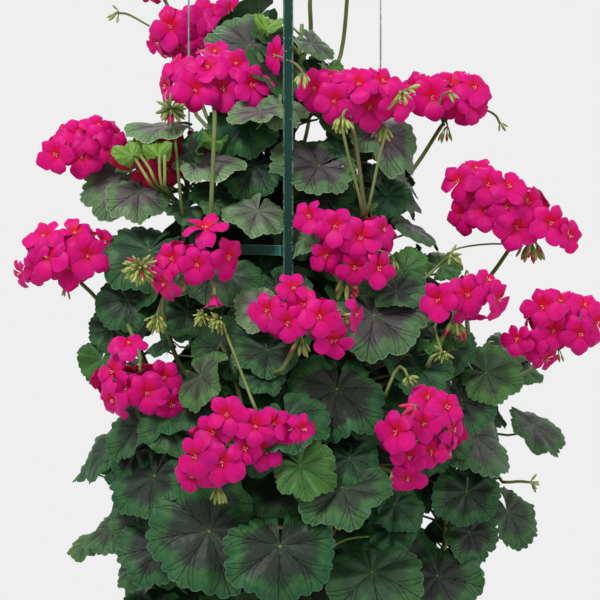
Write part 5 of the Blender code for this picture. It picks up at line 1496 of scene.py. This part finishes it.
def trailing_stem(name, piece):
    """The stem of a trailing shoot: a rod along its curve that thins towards its tip."""
    radii = np.linspace(0.0040, 0.0026, LINE_POINTS)
    tube(piece, TRAILER_LINES[name], radii, 10, (0.5, 0.4, 0.0, 0.0), coat=1)


def soil_surface():
    """The soil: a disc whose height is a sum of slow and quick waves in both directions, highest at the
    middle, closed by a skirt and a flat underside that follow the pot's taper."""
    rings, sides = 26, 72
    reach = np.linspace(0.0, 1.0, rings + 1)[1:]
    angle = np.arange(sides) * 2.0 * math.pi / sides
    low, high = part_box("soil")
    radius = high.x - 0.0004
    floor_radius = radius - (high.z - low.z) * POT_TAPER
    x = reach[:, None] * np.cos(angle) * radius
    y = reach[:, None] * np.sin(angle) * radius
    slow = 0.0016 * np.sin(70 * x + 1.0) * np.cos(58 * y)
    quick = 0.0010 * np.sin(150 * x - 95 * y) + 0.0007 * np.cos(260 * y + 210 * x)
    waves = (slow + quick) * (1.0 - 0.5 * reach[:, None])
    z = high.z + 0.0035 * (1.0 - reach[:, None] ** 2) + waves - 0.0022
    top = np.stack((x, y, np.minimum(z, high.z + 0.004)), axis=2).reshape(-1, 3)
    rim = np.stack((np.cos(angle), np.sin(angle), np.zeros(sides)), axis=1)
    skirt = rim * floor_radius + UP * low.z
    points = np.vstack((top, skirt, (0.0, 0.0, high.z + 0.001), (0.0, 0.0, low.z)))
    n = rings * sides
    ring = np.arange(sides)
    # the skirt is the last ring of the same grid; from above the rings run anticlockwise outwards, so the
    # faces are turned over to look up
    quads = ring_quads(rings + 1, sides)[:, ::-1]
    crown = np.stack((np.full(sides, n + sides), ring, (ring + 1) % sides), axis=1)
    base = np.stack((np.full(sides, n + sides + 1), n + (ring + 1) % sides, n + ring), axis=1)
    soil = Piece("soil_top")
    soil.add(points, quads, np.vstack((crown, base)))
    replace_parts(soil.build((SOIL,), "soil"), "soil")


# ---- the made pieces keep their solids and get their finishes ----
def dress_metalwork():
    """Gives each made node its finish; the plant's own nodes are replaced by the pieces above."""
    for node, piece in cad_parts.items():
        if node == "pot":
            finish = POT
        elif node in ("hook", "wire_left", "wire_right", "post_screw_upper", "post_screw_lower"):
            finish = GALVANISED
        elif node.startswith("brace"):
            # the braces take the lighter copy of the green paint, which is painted light
            finish = GREEN_STEEL_PAINTED_LIGHTER
        elif node.startswith(("post", "spreader")):
            finish = GREEN_STEEL
        else:
            continue
        piece.data.materials.clear()
        piece.data.materials.append(finish)


# ---- stage, lamps, camera ----
FLOOR_RADIUS = 1.3
FLOOR_DROP = 0.30
LAMPS_LOOK_AT = (0.0, 0.0, -0.45)


def pale_floor():
    """A round floor: two rings and a middle, lower than the lowest leaf."""
    sides, height = 96, CAD_BOX[0].z - FLOOR_DROP
    angle = np.arange(sides) * 2.0 * math.pi / sides
    circle = np.stack((np.cos(angle), np.sin(angle), np.zeros(sides)), axis=1)
    ring = circle * FLOOR_RADIUS + UP * height
    inner = ring * (0.5, 0.5, 1.0)
    k = np.arange(sides)
    fans = np.stack((np.full(sides, 2 * sides), sides + k, sides + (k + 1) % sides), axis=1)
    floor = Piece("floor")
    floor.add(np.vstack((ring, inner, (0.0, 0.0, height))), ring_quads(2, sides), fans)
    floor.stand((floor_finish(),))


def backdrop():
    """An even light all round, in front of which the viewer, mirrors and glass see a plain pale backdrop."""
    world = bpy.data.worlds.new("studio")
    bpy.context.scene.world = world
    world.use_nodes = True
    tree = world.node_tree
    light = tree.nodes["Background"]
    light.inputs["Color"].default_value = (1.0, 1.0, 1.0, 1.0)
    light.inputs["Strength"].default_value = 0.42
    pale = tree.nodes.new("ShaderNodeBackground")
    pale.inputs["Color"].default_value = paint(239, 239, 239)
    rays = tree.nodes.new("ShaderNodeLightPath")
    shows = rays.outputs["Is Camera Ray"]
    for kind in ("Is Glossy Ray", "Is Transmission Ray"):
        either = tree.nodes.new("ShaderNodeMath")
        either.operation = "MAXIMUM"
        tree.links.new(shows, either.inputs[0])
        tree.links.new(rays.outputs[kind], either.inputs[1])
        shows = either.outputs[0]
    blend = tree.nodes.new("ShaderNodeMixShader")
    tree.links.new(shows, blend.inputs[0])
    tree.links.new(light.outputs[0], blend.inputs[1])
    tree.links.new(pale.outputs[0], blend.inputs[2])
    tree.links.new(blend.outputs[0], tree.nodes["World Output"].inputs["Surface"])


def aim(thing, place, way):
    """Stand a camera or lamp at a place so that it looks along a direction, upright."""
    back = -unit(way)
    right = unit(np.cross(UP, back))
    above = np.cross(back, right)
    matrix = np.eye(4)
    matrix[:3] = np.stack((right, above, back, place), axis=1)
    thing.matrix_world = Matrix(matrix.tolist())


def lamp(name, place, size, power):
    """A round soft lamp that looks at the plant's middle."""
    data = bpy.data.lights.new(name, "AREA")
    data.shape, data.size, data.energy = "DISK", size, power
    light = bpy.data.objects.new(name, data)
    aim(light, place, np.subtract(LAMPS_LOOK_AT, place))
    bpy.context.scene.collection.objects.link(light)


def build_lights_and_camera():
    """Key lamp at the upper left in front, a fill at the right, a rim lamp behind, and the camera at the
    eye."""
    lamp("key", (-0.8, -1.4, 1.2), 0.8, 36.0)
    lamp("fill", (1.6, -1.2, 0.2), 1.4, 8.0)
    lamp("rim", (0.3, 1.6, 1.0), 1.2, 12.0)
    data = bpy.data.cameras.new("camera")
    data.lens, data.sensor_width = EYE_LENS, 36.0
    data.clip_start, data.clip_end = 0.05, 50.0
    camera = bpy.data.objects.new("camera", data)
    aim(camera, EYE, EYE_TARGET - EYE)
    bpy.context.scene.collection.objects.link(camera)
    bpy.context.scene.camera = camera
    bpy.context.scene.view_settings.view_transform = "Standard"


build_lights_and_camera()
dress_metalwork()
soil_surface()
for stem_name in STEMS:
    woody_stem(stem_name)
place_front_leaves()
place_mass()
for shoot_name, shoot in SHOOT_PIECES.items():
    if shoot_name in TRAILERS:
        trailing_stem(shoot_name, shoot)
    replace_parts(shoot.build((LEAF, STALK), "leaf"), shoot_name)
for head in HEADS:
    shown_head(head)
for head in ROUND_HEADS:
    round_head(*head)
green_umbels()
pale_floor()
backdrop()
